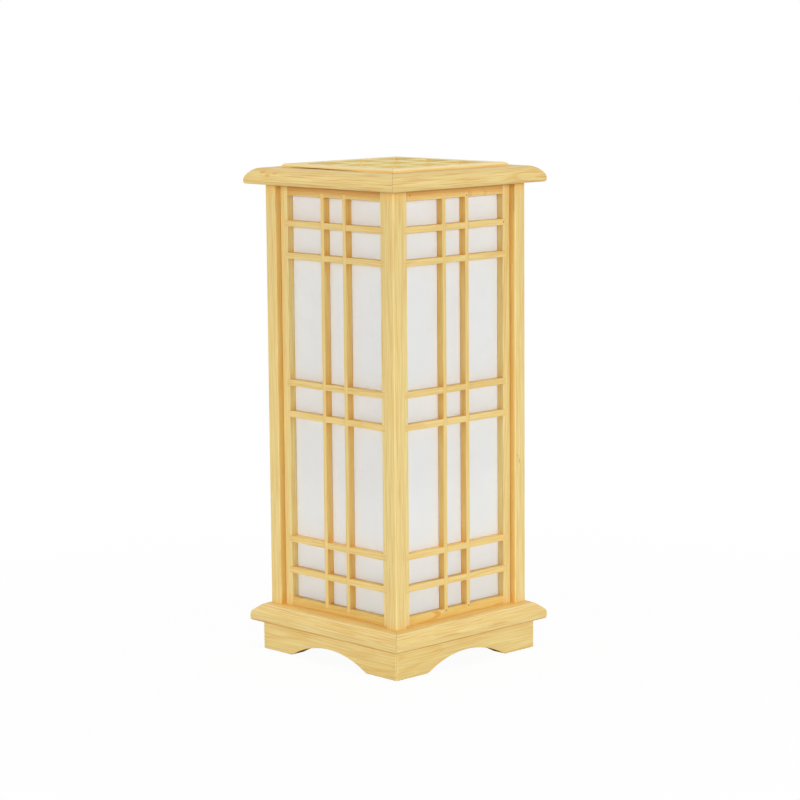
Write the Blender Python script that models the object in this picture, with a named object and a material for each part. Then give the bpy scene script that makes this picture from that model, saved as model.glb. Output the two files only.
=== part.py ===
"""Bedside lamp built like a paper lantern.

Four pine posts stand between two mitred moulding frames. A half-lapped lattice panel with paper behind it
fills each side, an arched apron carries the base, and a loose lattice lid covers the top. A screw bulb
stands in a holder on a batten across the base.

Metres, +Z up. The origin is on the floor under the middle of the lamp, and the front faces -Y.
"""

import math

import bmesh
import bpy
from mathutils import Matrix, Vector

# Clearances
FIT_GAP = 0.0003              # between two pieces that are glued together or rest on each other
LID_CLEARANCE = 0.0008        # play of the lid's tongue in the cap's opening
THREAD_CLEARANCE = 0.0003     # bulb cap in the holder's screw shell

# Moulding frames, the base and the cap
FRAME_WIDTH = 0.200           # over the noses of two opposite mouldings
FRAME_BOARD = 0.032           # from a nose in to the opening
FRAME_ARRIS = 0.0022          # round under each nose
FRAME_NOSE_ROUND = 0.0018     # round between a nose and the shaped edge above it
BASE_THICKNESS = 0.017
BASE_NOSE = 0.0082            # height of the upright part of the nose
BASE_EDGE_RUN = 0.0125        # how far the shaped edge runs in from the nose
BASE_EDGE_BULGE = 0.0009
CAP_THICKNESS = 0.015
CAP_NOSE = 0.0052
CAP_EDGE_RUN = 0.011
CAP_EDGE_BULGE = 0.0018

# Apron
APRON_SETBACK = 0.0085        # behind the base's nose
APRON_HEIGHT = 0.0272
APRON_THICKNESS = 0.014
APRON_CORNER_RADIUS = 0.0025
FOOT_LENGTH = 0.0398          # from a corner of the apron to the arch
ARCH_RISE = 0.0138
ARCH_FLARE_RADIUS = 0.030     # reverse curve where the arch runs out to the foot
ARCH_FOOT_ANGLE = math.radians(18)

# Posts
POST_SETBACK = 0.0145         # behind the base's nose
POST_WIDTH = 0.0135
POST_LENGTH = 0.3983
POST_ARRIS = 0.0012

# Panels
PANEL_THICKNESS = 0.007
STILE_WIDTH = 0.0095
TOP_RAIL_HEIGHT = 0.010
BOTTOM_RAIL_HEIGHT = 0.0077
RAIL_TENON = 0.006
RAIL_SHOULDER = 0.002
UPRIGHT_WIDTH = 0.0045
UPRIGHT_CELL = 0.025          # clear width between the two uprights
CROSSBAR_HEIGHT = 0.0058
END_CELL = 0.0232             # clear height outside the top and bottom crossbars
PAIR_CELL = 0.0241            # clear height between the two crossbars of a pair
BAR_LAP = 0.0035              # how far the bars' ends reach over the stiles and rails
PAPER_THICKNESS = 0.0005
PAPER_LAP = 0.006             # glued strip round the opening

# Lid
LID_OVERLAP = 0.0065          # how far the lip lies on the cap
LID_LIP = 0.0032              # height above the cap
LID_LIP_RADIUS = 0.0022
LID_SHADOW_CHAMFER = 0.0005   # under the lip's outer edge
LID_TONGUE_WIDTH = 0.0067
LID_TONGUE_DEPTH = 0.006
LID_BAR_WIDTH = 0.008
LID_BAR_DEPTH = 0.007

# Batten, grommet and screws
BATTEN_WIDTH = 0.060
BATTEN_THICKNESS = 0.010
CABLE_HOLE_RADIUS = 0.005
GROMMET_BORE_RADIUS = 0.0035
GROMMET_LIP_RADIUS = 0.007
GROMMET_LIP_THICKNESS = 0.0015
SCREW_HEAD_RADIUS = 0.003
SCREW_HEAD_HEIGHT = 0.002
SCREW_SHANK_RADIUS = 0.0015
SCREW_POINT = 0.003
BATTEN_SCREW_LENGTH = 0.020
HOLDER_SCREW_LENGTH = 0.012

# Bulb and holder, for the 27 mm screw cap
BULB_CAP_RADIUS = 0.0131
BULB_CAP_WALL = 0.0005
BULB_CAP_HEIGHT = 0.024
BULB_CAP_TAPER = 0.005
BULB_TIP_RADIUS = 0.0048
BULB_TIP_HEIGHT = 0.0026
BULB_TIP_ROUND = 0.0012
GLASS_RADIUS = 0.030
GLASS_WALL = 0.001
GLASS_FLARE_RADIUS = 0.045
GLASS_NECK = 0.002            # straight glass above the cap
GLASS_SEAT = 0.008            # straight glass inside the cap
SHELL_WALL = 0.0005
SHELL_LENGTH = 0.026
SHELL_HOLE_RADIUS = 0.007
LEAF_LENGTH = 0.0065
LEAF_WIDTH = 0.005
LEAF_HEIGHT = 0.005
LEAF_THICKNESS = 0.0006
HOLDER_HEIGHT = 0.044
HOLDER_FLOOR = 0.009
HOLDER_RECESS_RADIUS = 0.012
HOLDER_RECESS_DEPTH = 0.005
HOLDER_WALL = 0.005
HOLDER_LIP = 0.0015
HOLDER_FLANGE = 0.0085
HOLDER_FLANGE_THICKNESS = 0.005

# Half widths, measured from the lamp's axis
NOSE = FRAME_WIDTH / 2
OPENING = NOSE - FRAME_BOARD
APRON_FACE = NOSE - APRON_SETBACK
APRON_BACK = APRON_FACE - APRON_THICKNESS
POST_FACE = NOSE - POST_SETBACK
POST_BACK = POST_FACE - POST_WIDTH
PANEL_FACE = POST_BACK + PANEL_THICKNESS
PANEL_EDGE = POST_BACK - FIT_GAP
PANEL_OPENING = PANEL_EDGE - STILE_WIDTH
LID_EDGE = OPENING + LID_OVERLAP
LID_TONGUE_FACE = OPENING - LID_CLEARANCE
LID_OPENING = LID_TONGUE_FACE - LID_TONGUE_WIDTH

# Heights of the underside of each layer
BASE_Z = APRON_HEIGHT + FIT_GAP
POST_Z = BASE_Z + BASE_THICKNESS + FIT_GAP
CAP_Z = POST_Z + POST_LENGTH + FIT_GAP
LID_Z = CAP_Z + CAP_THICKNESS + FIT_GAP
BATTEN_Z = BASE_Z - FIT_GAP - BATTEN_THICKNESS
HOLDER_Z = BATTEN_Z + BATTEN_THICKNESS + FIT_GAP
LEAF_Z = HOLDER_Z + HOLDER_FLOOR + FIT_GAP
BULB_Z = LEAF_Z + LEAF_HEIGHT + FIT_GAP

# Sides and corners in the order in which quarter turns carry a front or front right piece to them
SIDES = ("front", "right", "back", "left")
CORNERS = ("front_right", "back_right", "back_left", "front_left")
ROUND_STEPS = 32

PINE = (0.80, 0.62, 0.30)
PAPER = (0.82, 0.81, 0.78)
BRASS = (0.72, 0.55, 0.25)
NICKEL = (0.62, 0.62, 0.60)
STEEL = (0.55, 0.55, 0.54)
WHITE_PLASTIC = (0.80, 0.79, 0.76)
OPAL_GLASS = (0.86, 0.86, 0.84)
BLACK_RUBBER = (0.03, 0.03, 0.03)

for old in list(bpy.data.objects):
    bpy.data.objects.remove(old, do_unlink=True)


def finish(name, colour, roughness, metallic=0.0):
    """A plain material with one colour."""
    material = bpy.data.materials.new(name)
    material.use_nodes = True
    shader = material.node_tree.nodes["Principled BSDF"]
    shader.inputs["Base Color"].default_value = (*colour, 1.0)
    shader.inputs["Roughness"].default_value = roughness
    shader.inputs["Metallic"].default_value = metallic
    return material


def mesh_from(bm, name, material, smooth=False):
    """Turn a bmesh into a mesh with its faces pointing out."""
    bmesh.ops.recalc_face_normals(bm, faces=bm.faces)
    mesh = bpy.data.meshes.new(name)
    bm.to_mesh(mesh)
    bm.free()
    mesh.materials.append(material)
    if smooth:
        mesh.shade_smooth()
        mesh.set_sharp_from_angle(angle=math.radians(35))
    return mesh


def place(name, mesh, z=0.0, quarter=0, parent=None):
    """Put a mesh in the scene at a height, turned by quarter turns about the lamp's axis."""
    piece = bpy.data.objects.new(name, mesh)
    piece.location.z = z
    piece.rotation_euler.z = quarter * math.pi / 2
    piece.parent = parent
    bpy.context.scene.collection.objects.link(piece)
    return piece


def axis_point(name, z):
    """An empty on the lamp's axis, which carries the pieces that move together."""
    empty = bpy.data.objects.new(name, None)
    empty.location.z = z
    bpy.context.scene.collection.objects.link(empty)
    return empty


def drill(piece, cutter):
    """Cut one object out of another and hide the cutter."""
    cutter.hide_render = True
    cutter.display_type = "WIRE"
    cut = piece.modifiers.new(cutter.name, "BOOLEAN")
    cut.operation = "DIFFERENCE"
    cut.solver = "EXACT"
    cut.object = cutter


def arc(centre, radius, start, end, steps):
    """Points on an arc, both ends included; angles in degrees."""
    angles = [math.radians(start + (end - start) * i / steps) for i in range(steps + 1)]
    return [(centre[0] + radius * math.cos(a), centre[1] + radius * math.sin(a)) for a in angles]


def bulged(start, end, bulge, steps):
    """Points on the arc that joins two points and stands a bulge to the left of the line between them."""
    a = Vector(start)
    b = Vector(end)
    half = (b - a).length / 2
    radius = (half * half + bulge * bulge) / (2 * bulge)
    along = (b - a).normalized()
    left = Vector((-along.y, along.x))
    centre = (a + b) / 2 - left * (radius - bulge)
    reach = math.asin(half / radius)
    turns = [-reach + 2 * reach * i / steps for i in range(steps + 1)]
    return [tuple(centre + along * (radius * math.sin(t)) + left * (radius * math.cos(t))) for t in turns]


def prism(outline, axis, start, end):
    """Sweep a closed outline along X (outline in y, z), Y (x, z) or Z (x, y)."""
    spots = {
        "X": lambda a, b, t: (t, a, b),
        "Y": lambda a, b, t: (a, t, b),
        "Z": lambda a, b, t: (a, b, t),
    }
    bm = bmesh.new()
    near = [bm.verts.new(spots[axis](a, b, start)) for a, b in outline]
    far = [bm.verts.new(spots[axis](a, b, end)) for a, b in outline]
    bm.faces.new(near)
    bm.faces.new(far)
    for i in range(len(outline)):
        bm.faces.new((near[i - 1], near[i], far[i], far[i - 1]))
    bmesh.ops.recalc_face_normals(bm, faces=bm.faces)
    return bm


def box(bm, low, high):
    """Add a box between two opposite corners."""
    low = Vector(low)
    high = Vector(high)
    shape = Matrix.Translation((low + high) / 2) @ Matrix.Diagonal((*(high - low), 1))
    bmesh.ops.create_cube(bm, size=1, matrix=shape)


def turned(profile, closed=False):
    """Turn a profile of (radius, z) points about Z; a closed profile leaves a bore."""
    bm = bmesh.new()
    rings = []
    for radius, z in profile:
        if radius == 0:
            rings.append([bm.verts.new((0, 0, z))] * ROUND_STEPS)
            continue
        angles = [2 * math.pi * k / ROUND_STEPS for k in range(ROUND_STEPS)]
        rings.append([bm.verts.new((radius * math.cos(a), radius * math.sin(a), z)) for a in angles])
    pairs = list(zip(rings, rings[1:]))
    if closed:
        pairs.append((rings[-1], rings[0]))
    for lower, upper in pairs:
        for k in range(ROUND_STEPS):
            corners = (lower[k - 1], lower[k], upper[k], upper[k - 1])
            bm.faces.new(list(dict.fromkeys(corners)))
    return bm


def mitre_ends(bm):
    """Cut the ends of a front piece on the two diagonal planes through the lamp's axis."""
    for side in (1, -1):
        outward = Vector((side, 1, 0)).normalized()
        whole = bm.verts[:] + bm.edges[:] + bm.faces[:]
        cut = bmesh.ops.bisect_plane(
            bm, geom=whole, plane_co=outward * (-FIT_GAP / 2), plane_no=outward, clear_outer=True)
        rim = [item for item in cut["geom_cut"] if isinstance(item, bmesh.types.BMEdge)]
        bmesh.ops.edgeloop_fill(bm, edges=rim)


def mitred_length(section, face):
    """One side of a mitred frame. The section is in (inset from the outer face, z)."""
    bm = prism([(inset - face, z) for inset, z in section], "X", -2 * face, 2 * face)
    mitre_ends(bm)
    return bm


def faces_at(bm, axis, value):
    """The faces that lie flat on one plane."""
    flat = []
    for face in bm.faces:
        if all(abs(corner.co[axis] - value) < FIT_GAP / 10 for corner in face.verts):
            flat.append(face)
    return flat


def push(bm, faces, shoulder, depth):
    """Stand a tenon on each face, or sink a mortise into it if the depth is negative."""
    bmesh.ops.recalc_face_normals(bm, faces=bm.faces)
    if shoulder:
        bmesh.ops.inset_individual(bm, faces=faces, thickness=shoulder, use_even_offset=True)
    for face in faces:
        travel = face.normal * depth
        moved = bmesh.ops.extrude_discrete_faces(bm, faces=[face])["faces"][0]
        bmesh.ops.translate(bm, verts=moved.verts[:], vec=travel)


# Apron: the crown of each arch runs into a small reverse curve at the foot

apron_pine = finish("apron_pine", PINE, 0.5)


def arch_points():
    """The arch from left foot to right foot, a crown arc between two flares that are tangent to it."""
    half_span = APRON_FACE - FOOT_LENGTH
    flare = ARCH_FLARE_RADIUS
    lift = ARCH_RISE + flare * (1 - math.cos(ARCH_FOOT_ANGLE))
    reach = half_span + flare * math.sin(ARCH_FOOT_ANGLE)
    flank = 2 * math.atan2(lift, reach)
    crown = reach / math.sin(flank) - flare
    tilt = math.degrees(flank)
    foot_tilt = math.degrees(ARCH_FOOT_ANGLE)
    flare_centre_z = flare * math.cos(ARCH_FOOT_ANGLE)
    left = arc((-reach, flare_centre_z), flare, -90 + foot_tilt, -90 + tilt, 3)
    top = arc((0, ARCH_RISE - crown), crown, 90 + tilt, 90 - tilt, 18)
    right = [(-x, z) for x, z in reversed(left)]
    return left + top[1:-1] + right


def apron_board():
    """A board with the arch sawn out, a rounded corner edge and mitred ends."""
    corners = [(APRON_FACE, 0), (APRON_FACE, APRON_HEIGHT), (-APRON_FACE, APRON_HEIGHT), (-APRON_FACE, 0)]
    bm = prism(arch_points() + corners, "Y", -APRON_FACE, -APRON_BACK)
    edges = []
    for edge in bm.edges:
        a, b = (corner.co for corner in edge.verts)
        upright = abs(a.x - b.x) < FIT_GAP and abs(a.z - b.z) > FIT_GAP
        if upright and abs(abs(a.x) - APRON_FACE) < FIT_GAP and abs(a.y + APRON_FACE) < FIT_GAP:
            edges.append(edge)
    bmesh.ops.bevel(
        bm, geom=edges, offset=APRON_CORNER_RADIUS, segments=4, profile=0.5, affect="EDGES")
    mitre_ends(bm)
    return bm


apron_mesh = mesh_from(apron_board(), "apron_board", apron_pine)
for quarter, side in enumerate(SIDES):
    place(f"{side}_apron", apron_mesh, 0, quarter)


# Base and cap: mitred frames of moulded pine

base_pine = finish("base_pine", PINE, 0.5)
cap_pine = finish("cap_pine", PINE, 0.5)


def moulding(thickness, nose, run, bulge):
    """A mitred length with an upright nose, round above and below, and a bulged edge up to the flat top."""
    under = arc((FRAME_ARRIS, FRAME_ARRIS), FRAME_ARRIS, 270, 180, 3)
    edge = bulged((0, nose), (run, thickness), bulge, 6)
    section = [(FRAME_BOARD, 0)] + under + edge + [(FRAME_BOARD, thickness)]
    bm = prism([(inset - NOSE, z) for inset, z in section], "X", -FRAME_WIDTH, FRAME_WIDTH)
    corners = []
    for line in bm.edges:
        a, b = (corner.co for corner in line.verts)
        lengthwise = abs(a.x - b.x) > FIT_GAP
        if lengthwise and abs(a.y + NOSE) < FIT_GAP and abs(a.z - nose) < FIT_GAP:
            corners.append(line)
    bmesh.ops.bevel(bm, geom=corners, offset=FRAME_NOSE_ROUND, segments=3, profile=0.5, affect="EDGES")
    mitre_ends(bm)
    return bm


base_length = moulding(BASE_THICKNESS, BASE_NOSE, BASE_EDGE_RUN, BASE_EDGE_BULGE)
base_mesh = mesh_from(base_length, "base_moulding", base_pine)
base_mouldings = {}
for quarter, side in enumerate(SIDES):
    base_mouldings[side] = place(f"{side}_base_moulding", base_mesh, BASE_Z, quarter)

cap_length = moulding(CAP_THICKNESS, CAP_NOSE, CAP_EDGE_RUN, CAP_EDGE_BULGE)
cap_mesh = mesh_from(cap_length, "cap_moulding", cap_pine)
for quarter, side in enumerate(SIDES):
    place(f"{side}_cap_moulding", cap_mesh, CAP_Z, quarter)


# Posts: square, with eased edges

post_pine = finish("post_pine", PINE, 0.5)


def post_outline():
    """A square with a small round on each corner, at the front right."""
    low = POST_BACK + POST_ARRIS
    high = POST_FACE - POST_ARRIS
    rounds = [((high, -low), 0), ((low, -low), 90), ((low, -high), 180), ((high, -high), 270)]
    outline = []
    for centre, start in rounds:
        outline += arc(centre, POST_ARRIS, start, start + 90, 3)
    return outline


post_mesh = mesh_from(prism(post_outline(), "Z", 0, POST_LENGTH), "post", post_pine)
for quarter, corner in enumerate(CORNERS):
    place(f"{corner}_post", post_mesh, POST_Z, quarter)


# Panels: a half-lapped lattice is let into the front of stiles and rails, with paper glued behind

stile_pine = finish("stile_pine", PINE, 0.5)
rail_pine = finish("rail_pine", PINE, 0.5)
lattice_pine = finish("lattice_pine", PINE, 0.5)
panel_paper = finish("panel_paper", PAPER, 0.8)

OPENING_LOW = BOTTOM_RAIL_HEIGHT
OPENING_HIGH = POST_LENGTH - TOP_RAIL_HEIGHT
PANEL_MIDDLE = (PANEL_FACE + POST_BACK) / 2


def crossbar_spans():
    """Bottom and top of each crossbar: a pair near each end and a pair in the middle."""
    pair = 2 * CROSSBAR_HEIGHT + PAIR_CELL
    middle = (OPENING_LOW + OPENING_HIGH) / 2
    starts = [OPENING_LOW + END_CELL, middle - pair / 2, OPENING_HIGH - END_CELL - pair]
    spans = []
    for start in starts:
        spans.append((start, start + CROSSBAR_HEIGHT))
        spans.append((start + CROSSBAR_HEIGHT + PAIR_CELL, start + pair))
    return spans


def upright_spans():
    """Left and right edge of each upright."""
    inner = UPRIGHT_CELL / 2
    outer = inner + UPRIGHT_WIDTH
    return [(-outer, -inner), (inner, outer)]


def stile(side):
    """A stile with a mortise for each rail along its inner edge."""
    inner = side * PANEL_OPENING
    outer = side * PANEL_EDGE
    edge = [(inner, 0), (inner, OPENING_LOW), (inner, OPENING_HIGH), (inner, POST_LENGTH)]
    bm = prism(edge + [(outer, POST_LENGTH), (outer, 0)], "Y", -PANEL_FACE, -POST_BACK)
    mortises = []
    for face in faces_at(bm, 0, inner):
        middle = face.calc_center_median().z
        if not OPENING_LOW < middle < OPENING_HIGH:
            mortises.append(face)
    push(bm, mortises, RAIL_SHOULDER - FIT_GAP, -RAIL_TENON)
    return bm


def rail(low, high):
    """A rail with a tenon at each end."""
    end = PANEL_OPENING - FIT_GAP
    bm = prism([(-end, low), (end, low), (end, high), (-end, high)], "Y", -PANEL_FACE, -POST_BACK)
    push(bm, faces_at(bm, 0, -end) + faces_at(bm, 0, end), RAIL_SHOULDER, RAIL_TENON)
    return bm


def lattice():
    """Uprights and crossbars flush at their half laps, the front half of every end reaching on as a lap."""
    side = PANEL_OPENING - FIT_GAP
    low = OPENING_LOW + FIT_GAP
    high = OPENING_HIGH - FIT_GAP
    xs = [-side] + [x for span in upright_spans() for x in span] + [side]
    zs = [low] + [z for span in crossbar_spans() for z in span] + [high]
    bars = {(i, k) for i in range(len(xs) - 1) for k in range(len(zs) - 1) if i % 2 or k % 2}
    bm = bmesh.new()
    front = {}
    back = {}
    for i, k in sorted({(i + a, k + b) for i, k in bars for a in (0, 1) for b in (0, 1)}):
        front[i, k] = bm.verts.new((xs[i], -PANEL_FACE, zs[k]))
        back[i, k] = bm.verts.new((xs[i], -POST_BACK, zs[k]))
    for i, k in sorted(bars):
        corners = [(i, k), (i + 1, k), (i + 1, k + 1), (i, k + 1)]
        bm.faces.new([front[c] for c in corners])
        bm.faces.new([back[c] for c in corners])
        beside = [(i, k - 1), (i + 1, k), (i, k + 1), (i - 1, k)]
        for n, neighbour in enumerate(beside):
            a = corners[n]
            b = corners[(n + 1) % 4]
            if neighbour not in bars:
                bm.faces.new((front[a], front[b], back[b], back[a]))
    whole = bm.verts[:] + bm.edges[:] + bm.faces[:]
    bmesh.ops.bisect_plane(bm, geom=whole, plane_co=(0, -PANEL_MIDDLE, 0), plane_no=(0, 1, 0))
    ends = faces_at(bm, 0, -side) + faces_at(bm, 0, side) + faces_at(bm, 2, low) + faces_at(bm, 2, high)
    laps = [face for face in ends if face.calc_center_median().y < -PANEL_MIDDLE]
    push(bm, laps, 0, BAR_LAP)
    return bm


def lap_notches():
    """Blocks round the laps of the bars, to be cut out of the stiles and rails with a gap to spare."""
    front = -POST_FACE
    floor = -PANEL_MIDDLE + FIT_GAP
    bm = bmesh.new()
    for low, high in crossbar_spans():
        for edge in (-PANEL_OPENING, PANEL_OPENING):
            box(bm, (edge - BAR_LAP, front, low - FIT_GAP), (edge + BAR_LAP, floor, high + FIT_GAP))
    for left, right in upright_spans():
        for edge in (OPENING_LOW, OPENING_HIGH):
            box(bm, (left - FIT_GAP, front, edge - BAR_LAP), (right + FIT_GAP, floor, edge + BAR_LAP))
    return bm


def paper_sheet():
    """A flat sheet that laps over the stiles and rails from behind."""
    side = PANEL_OPENING + PAPER_LAP
    low = OPENING_LOW - PAPER_LAP
    high = OPENING_HIGH + PAPER_LAP
    face = -POST_BACK + FIT_GAP
    outline = [(-side, low), (side, low), (side, high), (-side, high)]
    return prism(outline, "Y", face, face + PAPER_THICKNESS)


frame_meshes = {
    "stile_left": mesh_from(stile(-1), "stile_left", stile_pine),
    "stile_right": mesh_from(stile(1), "stile_right", stile_pine),
    "bottom_rail": mesh_from(rail(0, OPENING_LOW), "bottom_rail", rail_pine),
    "top_rail": mesh_from(rail(OPENING_HIGH, POST_LENGTH), "top_rail", rail_pine),
}
notch_mesh = mesh_from(lap_notches(), "lap_notches", lattice_pine)
lattice_mesh = mesh_from(lattice(), "lattice", lattice_pine)
paper_mesh = mesh_from(paper_sheet(), "paper", panel_paper)
for quarter, side in enumerate(SIDES):
    notches = place(f"{side}_lap_notches", notch_mesh, POST_Z, quarter)
    for piece_name, frame_mesh in frame_meshes.items():
        drill(place(f"{side}_panel_{piece_name}", frame_mesh, POST_Z, quarter), notches)
    place(f"{side}_panel_lattice", lattice_mesh, POST_Z, quarter)
    place(f"{side}_panel_paper", paper_mesh, POST_Z, quarter)


# Lid: a mitred frame with a tongue that drops into the cap, and a lattice of half-lapped bars

lid_pine = finish("lid_pine", PINE, 0.5)
lid_bar_pine = finish("lid_bar_pine", PINE, 0.5)
lid_axis = axis_point("lid_axis", LID_Z)


def lid_section():
    """A lip with a rounded top edge and, under its inner part, the tongue."""
    tongue = LID_EDGE - LID_TONGUE_FACE
    inner = LID_EDGE - LID_OPENING
    edge = arc((LID_LIP_RADIUS, LID_LIP - LID_LIP_RADIUS), LID_LIP_RADIUS, 180, 90, 4)
    foot = [(inner, -LID_TONGUE_DEPTH), (tongue, -LID_TONGUE_DEPTH), (tongue, 0)]
    shadow = [(LID_SHADOW_CHAMFER, 0), (0, LID_SHADOW_CHAMFER)]
    return foot + shadow + edge + [(inner, LID_LIP)]


lid_mesh = mesh_from(mitred_length(lid_section(), LID_EDGE), "lid_frame_bar", lid_pine)
for quarter, side in enumerate(SIDES):
    place(f"lid_frame_{side}", lid_mesh, 0, quarter, lid_axis)

LID_CELL = (2 * LID_OPENING - 2 * LID_BAR_WIDTH) / 3
LID_BAR_CENTRE = (LID_CELL + LID_BAR_WIDTH) / 2


def lid_bar(notched_edge, plain_edge):
    """A bar along X behind the axis, with two half-lap notches in one of its edges."""
    end = LID_OPENING - FIT_GAP
    lap = LID_BAR_WIDTH / 2 + FIT_GAP
    notch = (notched_edge + plain_edge) / 2
    notch += math.copysign(FIT_GAP / 2, plain_edge - notched_edge)
    edge = [(-end, notched_edge)]
    for middle in (-LID_BAR_CENTRE, LID_BAR_CENTRE):
        edge += [(middle - lap, notched_edge), (middle - lap, notch)]
        edge += [(middle + lap, notch), (middle + lap, notched_edge)]
    edge += [(end, notched_edge), (end, plain_edge), (-end, plain_edge)]
    return prism(edge, "Y", LID_BAR_CENTRE - LID_BAR_WIDTH / 2, LID_BAR_CENTRE + LID_BAR_WIDTH / 2)


LID_BAR_LOW = LID_LIP - LID_BAR_DEPTH
over_mesh = mesh_from(lid_bar(LID_BAR_LOW, LID_LIP), "lid_bar_over", lid_bar_pine)
under_mesh = mesh_from(lid_bar(LID_LIP, LID_BAR_LOW), "lid_bar_under", lid_bar_pine)
lid_bars = {"back": over_mesh, "left": under_mesh, "front": over_mesh, "right": under_mesh}
for quarter, (side, bar_mesh) in enumerate(lid_bars.items()):
    place(f"lid_bar_{side}", bar_mesh, 0, quarter, lid_axis)


# Batten: a board under the base frame's opening, screwed up into the left and right mouldings

batten_pine = finish("batten_pine", PINE, 0.6)
screw_steel = finish("screw_steel", STEEL, 0.35, 1.0)
grommet_rubber = finish("grommet_rubber", BLACK_RUBBER, 0.7)

BATTEN_END = APRON_BACK - FIT_GAP
BATTEN_SCREW_X = (OPENING + BATTEN_END) / 2


def screw_profile(length, grow=0.0, lead=0.0):
    """A countersunk screw, head at z 0 and point up; grown by a clearance it is the hole for the screw."""
    head = SCREW_HEAD_RADIUS + grow
    shank = SCREW_SHANK_RADIUS + grow
    tip = length + grow
    profile = [(0, -lead), (head, -lead)]
    if lead:
        profile.append((head, 0))
    return profile + [(shank, SCREW_HEAD_HEIGHT), (shank, tip - SCREW_POINT), (0, tip)]


def screw_and_holes(name, mesh, hole_mesh, x, z, head_up, drilled):
    """Place a screw and drill the pieces that it goes through."""
    screw = place(name, mesh, z)
    hole = place(f"{name}_hole", hole_mesh, z)
    for item in (screw, hole):
        item.location.x = x
        item.rotation_euler.x = math.pi if head_up else 0
    for piece in drilled:
        drill(piece, hole)


batten_outline = [
    (-BATTEN_END, -BATTEN_WIDTH / 2), (BATTEN_END, -BATTEN_WIDTH / 2),
    (BATTEN_END, BATTEN_WIDTH / 2), (-BATTEN_END, BATTEN_WIDTH / 2)]
batten_mesh = mesh_from(prism(batten_outline, "Z", 0, BATTEN_THICKNESS), "batten", batten_pine)
batten = place("holder_batten", batten_mesh, BATTEN_Z)

cable_hole_profile = [
    (0, -BATTEN_THICKNESS), (CABLE_HOLE_RADIUS, -BATTEN_THICKNESS),
    (CABLE_HOLE_RADIUS, 2 * BATTEN_THICKNESS), (0, 2 * BATTEN_THICKNESS)]
cable_hole = mesh_from(turned(cable_hole_profile), "cable_hole", batten_pine)
drill(batten, place("cable_hole", cable_hole, BATTEN_Z))

GROMMET_SLEEVE_RADIUS = CABLE_HOLE_RADIUS - FIT_GAP
GROMMET_LOW = -GROMMET_LIP_THICKNESS - FIT_GAP
grommet_profile = [
    (GROMMET_BORE_RADIUS, GROMMET_LOW), (GROMMET_LIP_RADIUS, GROMMET_LOW),
    (GROMMET_LIP_RADIUS, -FIT_GAP), (GROMMET_SLEEVE_RADIUS, -FIT_GAP),
    (GROMMET_SLEEVE_RADIUS, BATTEN_THICKNESS), (GROMMET_BORE_RADIUS, BATTEN_THICKNESS)]
grommet_mesh = mesh_from(turned(grommet_profile, closed=True), "grommet", grommet_rubber, smooth=True)
place("cable_grommet", grommet_mesh, BATTEN_Z)

batten_screw_profile = screw_profile(BATTEN_SCREW_LENGTH)
batten_screw = mesh_from(turned(batten_screw_profile), "batten_screw", screw_steel, smooth=True)
batten_hole_profile = screw_profile(BATTEN_SCREW_LENGTH, FIT_GAP, SCREW_HEAD_HEIGHT)
batten_hole = mesh_from(turned(batten_hole_profile), "batten_screw_hole", batten_pine)
for side, x in {"left": -BATTEN_SCREW_X, "right": BATTEN_SCREW_X}.items():
    drilled = [batten, base_mouldings[side]]
    screw_and_holes(f"batten_screw_{side}", batten_screw, batten_hole, x, BATTEN_Z, False, drilled)


# Lamp holder: a moulded body with a flange, a brass screw shell and a folded leaf contact

holder_plastic = finish("holder_plastic", WHITE_PLASTIC, 0.35)
shell_brass = finish("shell_brass", BRASS, 0.3, 1.0)
leaf_brass = finish("leaf_brass", BRASS, 0.3, 1.0)

SHELL_RADIUS = BULB_CAP_RADIUS + THREAD_CLEARANCE + SHELL_WALL
HOLDER_BORE = SHELL_RADIUS + FIT_GAP
HOLDER_RADIUS = HOLDER_BORE + HOLDER_WALL
HOLDER_FLANGE_RADIUS = HOLDER_RADIUS + HOLDER_FLANGE

holder_profile = [
    (0, HOLDER_RECESS_DEPTH), (HOLDER_RECESS_RADIUS, HOLDER_RECESS_DEPTH), (HOLDER_RECESS_RADIUS, 0),
    (HOLDER_FLANGE_RADIUS, 0), (HOLDER_FLANGE_RADIUS, HOLDER_FLANGE_THICKNESS),
    (HOLDER_RADIUS, HOLDER_FLANGE_THICKNESS), (HOLDER_RADIUS, HOLDER_HEIGHT - HOLDER_LIP),
    (HOLDER_RADIUS - HOLDER_LIP, HOLDER_HEIGHT), (HOLDER_BORE, HOLDER_HEIGHT),
    (HOLDER_BORE, HOLDER_FLOOR), (0, HOLDER_FLOOR)]
holder_mesh = mesh_from(turned(holder_profile), "lamp_holder", holder_plastic, smooth=True)
holder = place("lamp_holder", holder_mesh, HOLDER_Z)

shell_profile = [
    (SHELL_HOLE_RADIUS, 0), (SHELL_RADIUS, 0), (SHELL_RADIUS, SHELL_LENGTH),
    (SHELL_RADIUS - SHELL_WALL, SHELL_LENGTH), (SHELL_RADIUS - SHELL_WALL, SHELL_WALL),
    (SHELL_HOLE_RADIUS, SHELL_WALL)]
shell_mesh = mesh_from(turned(shell_profile, closed=True), "screw_shell", shell_brass, smooth=True)
place("holder_screw_shell", shell_mesh, LEAF_Z)


def leaf_outline():
    """A strip folded over on itself: foot, round bend and the tongue that the bulb presses."""
    bend = LEAF_HEIGHT / 2
    centre = (LEAF_LENGTH / 2 - bend, bend)
    start = -LEAF_LENGTH / 2
    outer = [(start, 0)] + arc(centre, bend, -90, 90, 8) + [(start / 2, LEAF_HEIGHT)]
    inner = arc(centre, bend - LEAF_THICKNESS, 90, -90, 8)
    tongue = (start / 2, LEAF_HEIGHT - LEAF_THICKNESS)
    return outer + [tongue] + inner + [(start, LEAF_THICKNESS)]


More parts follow.
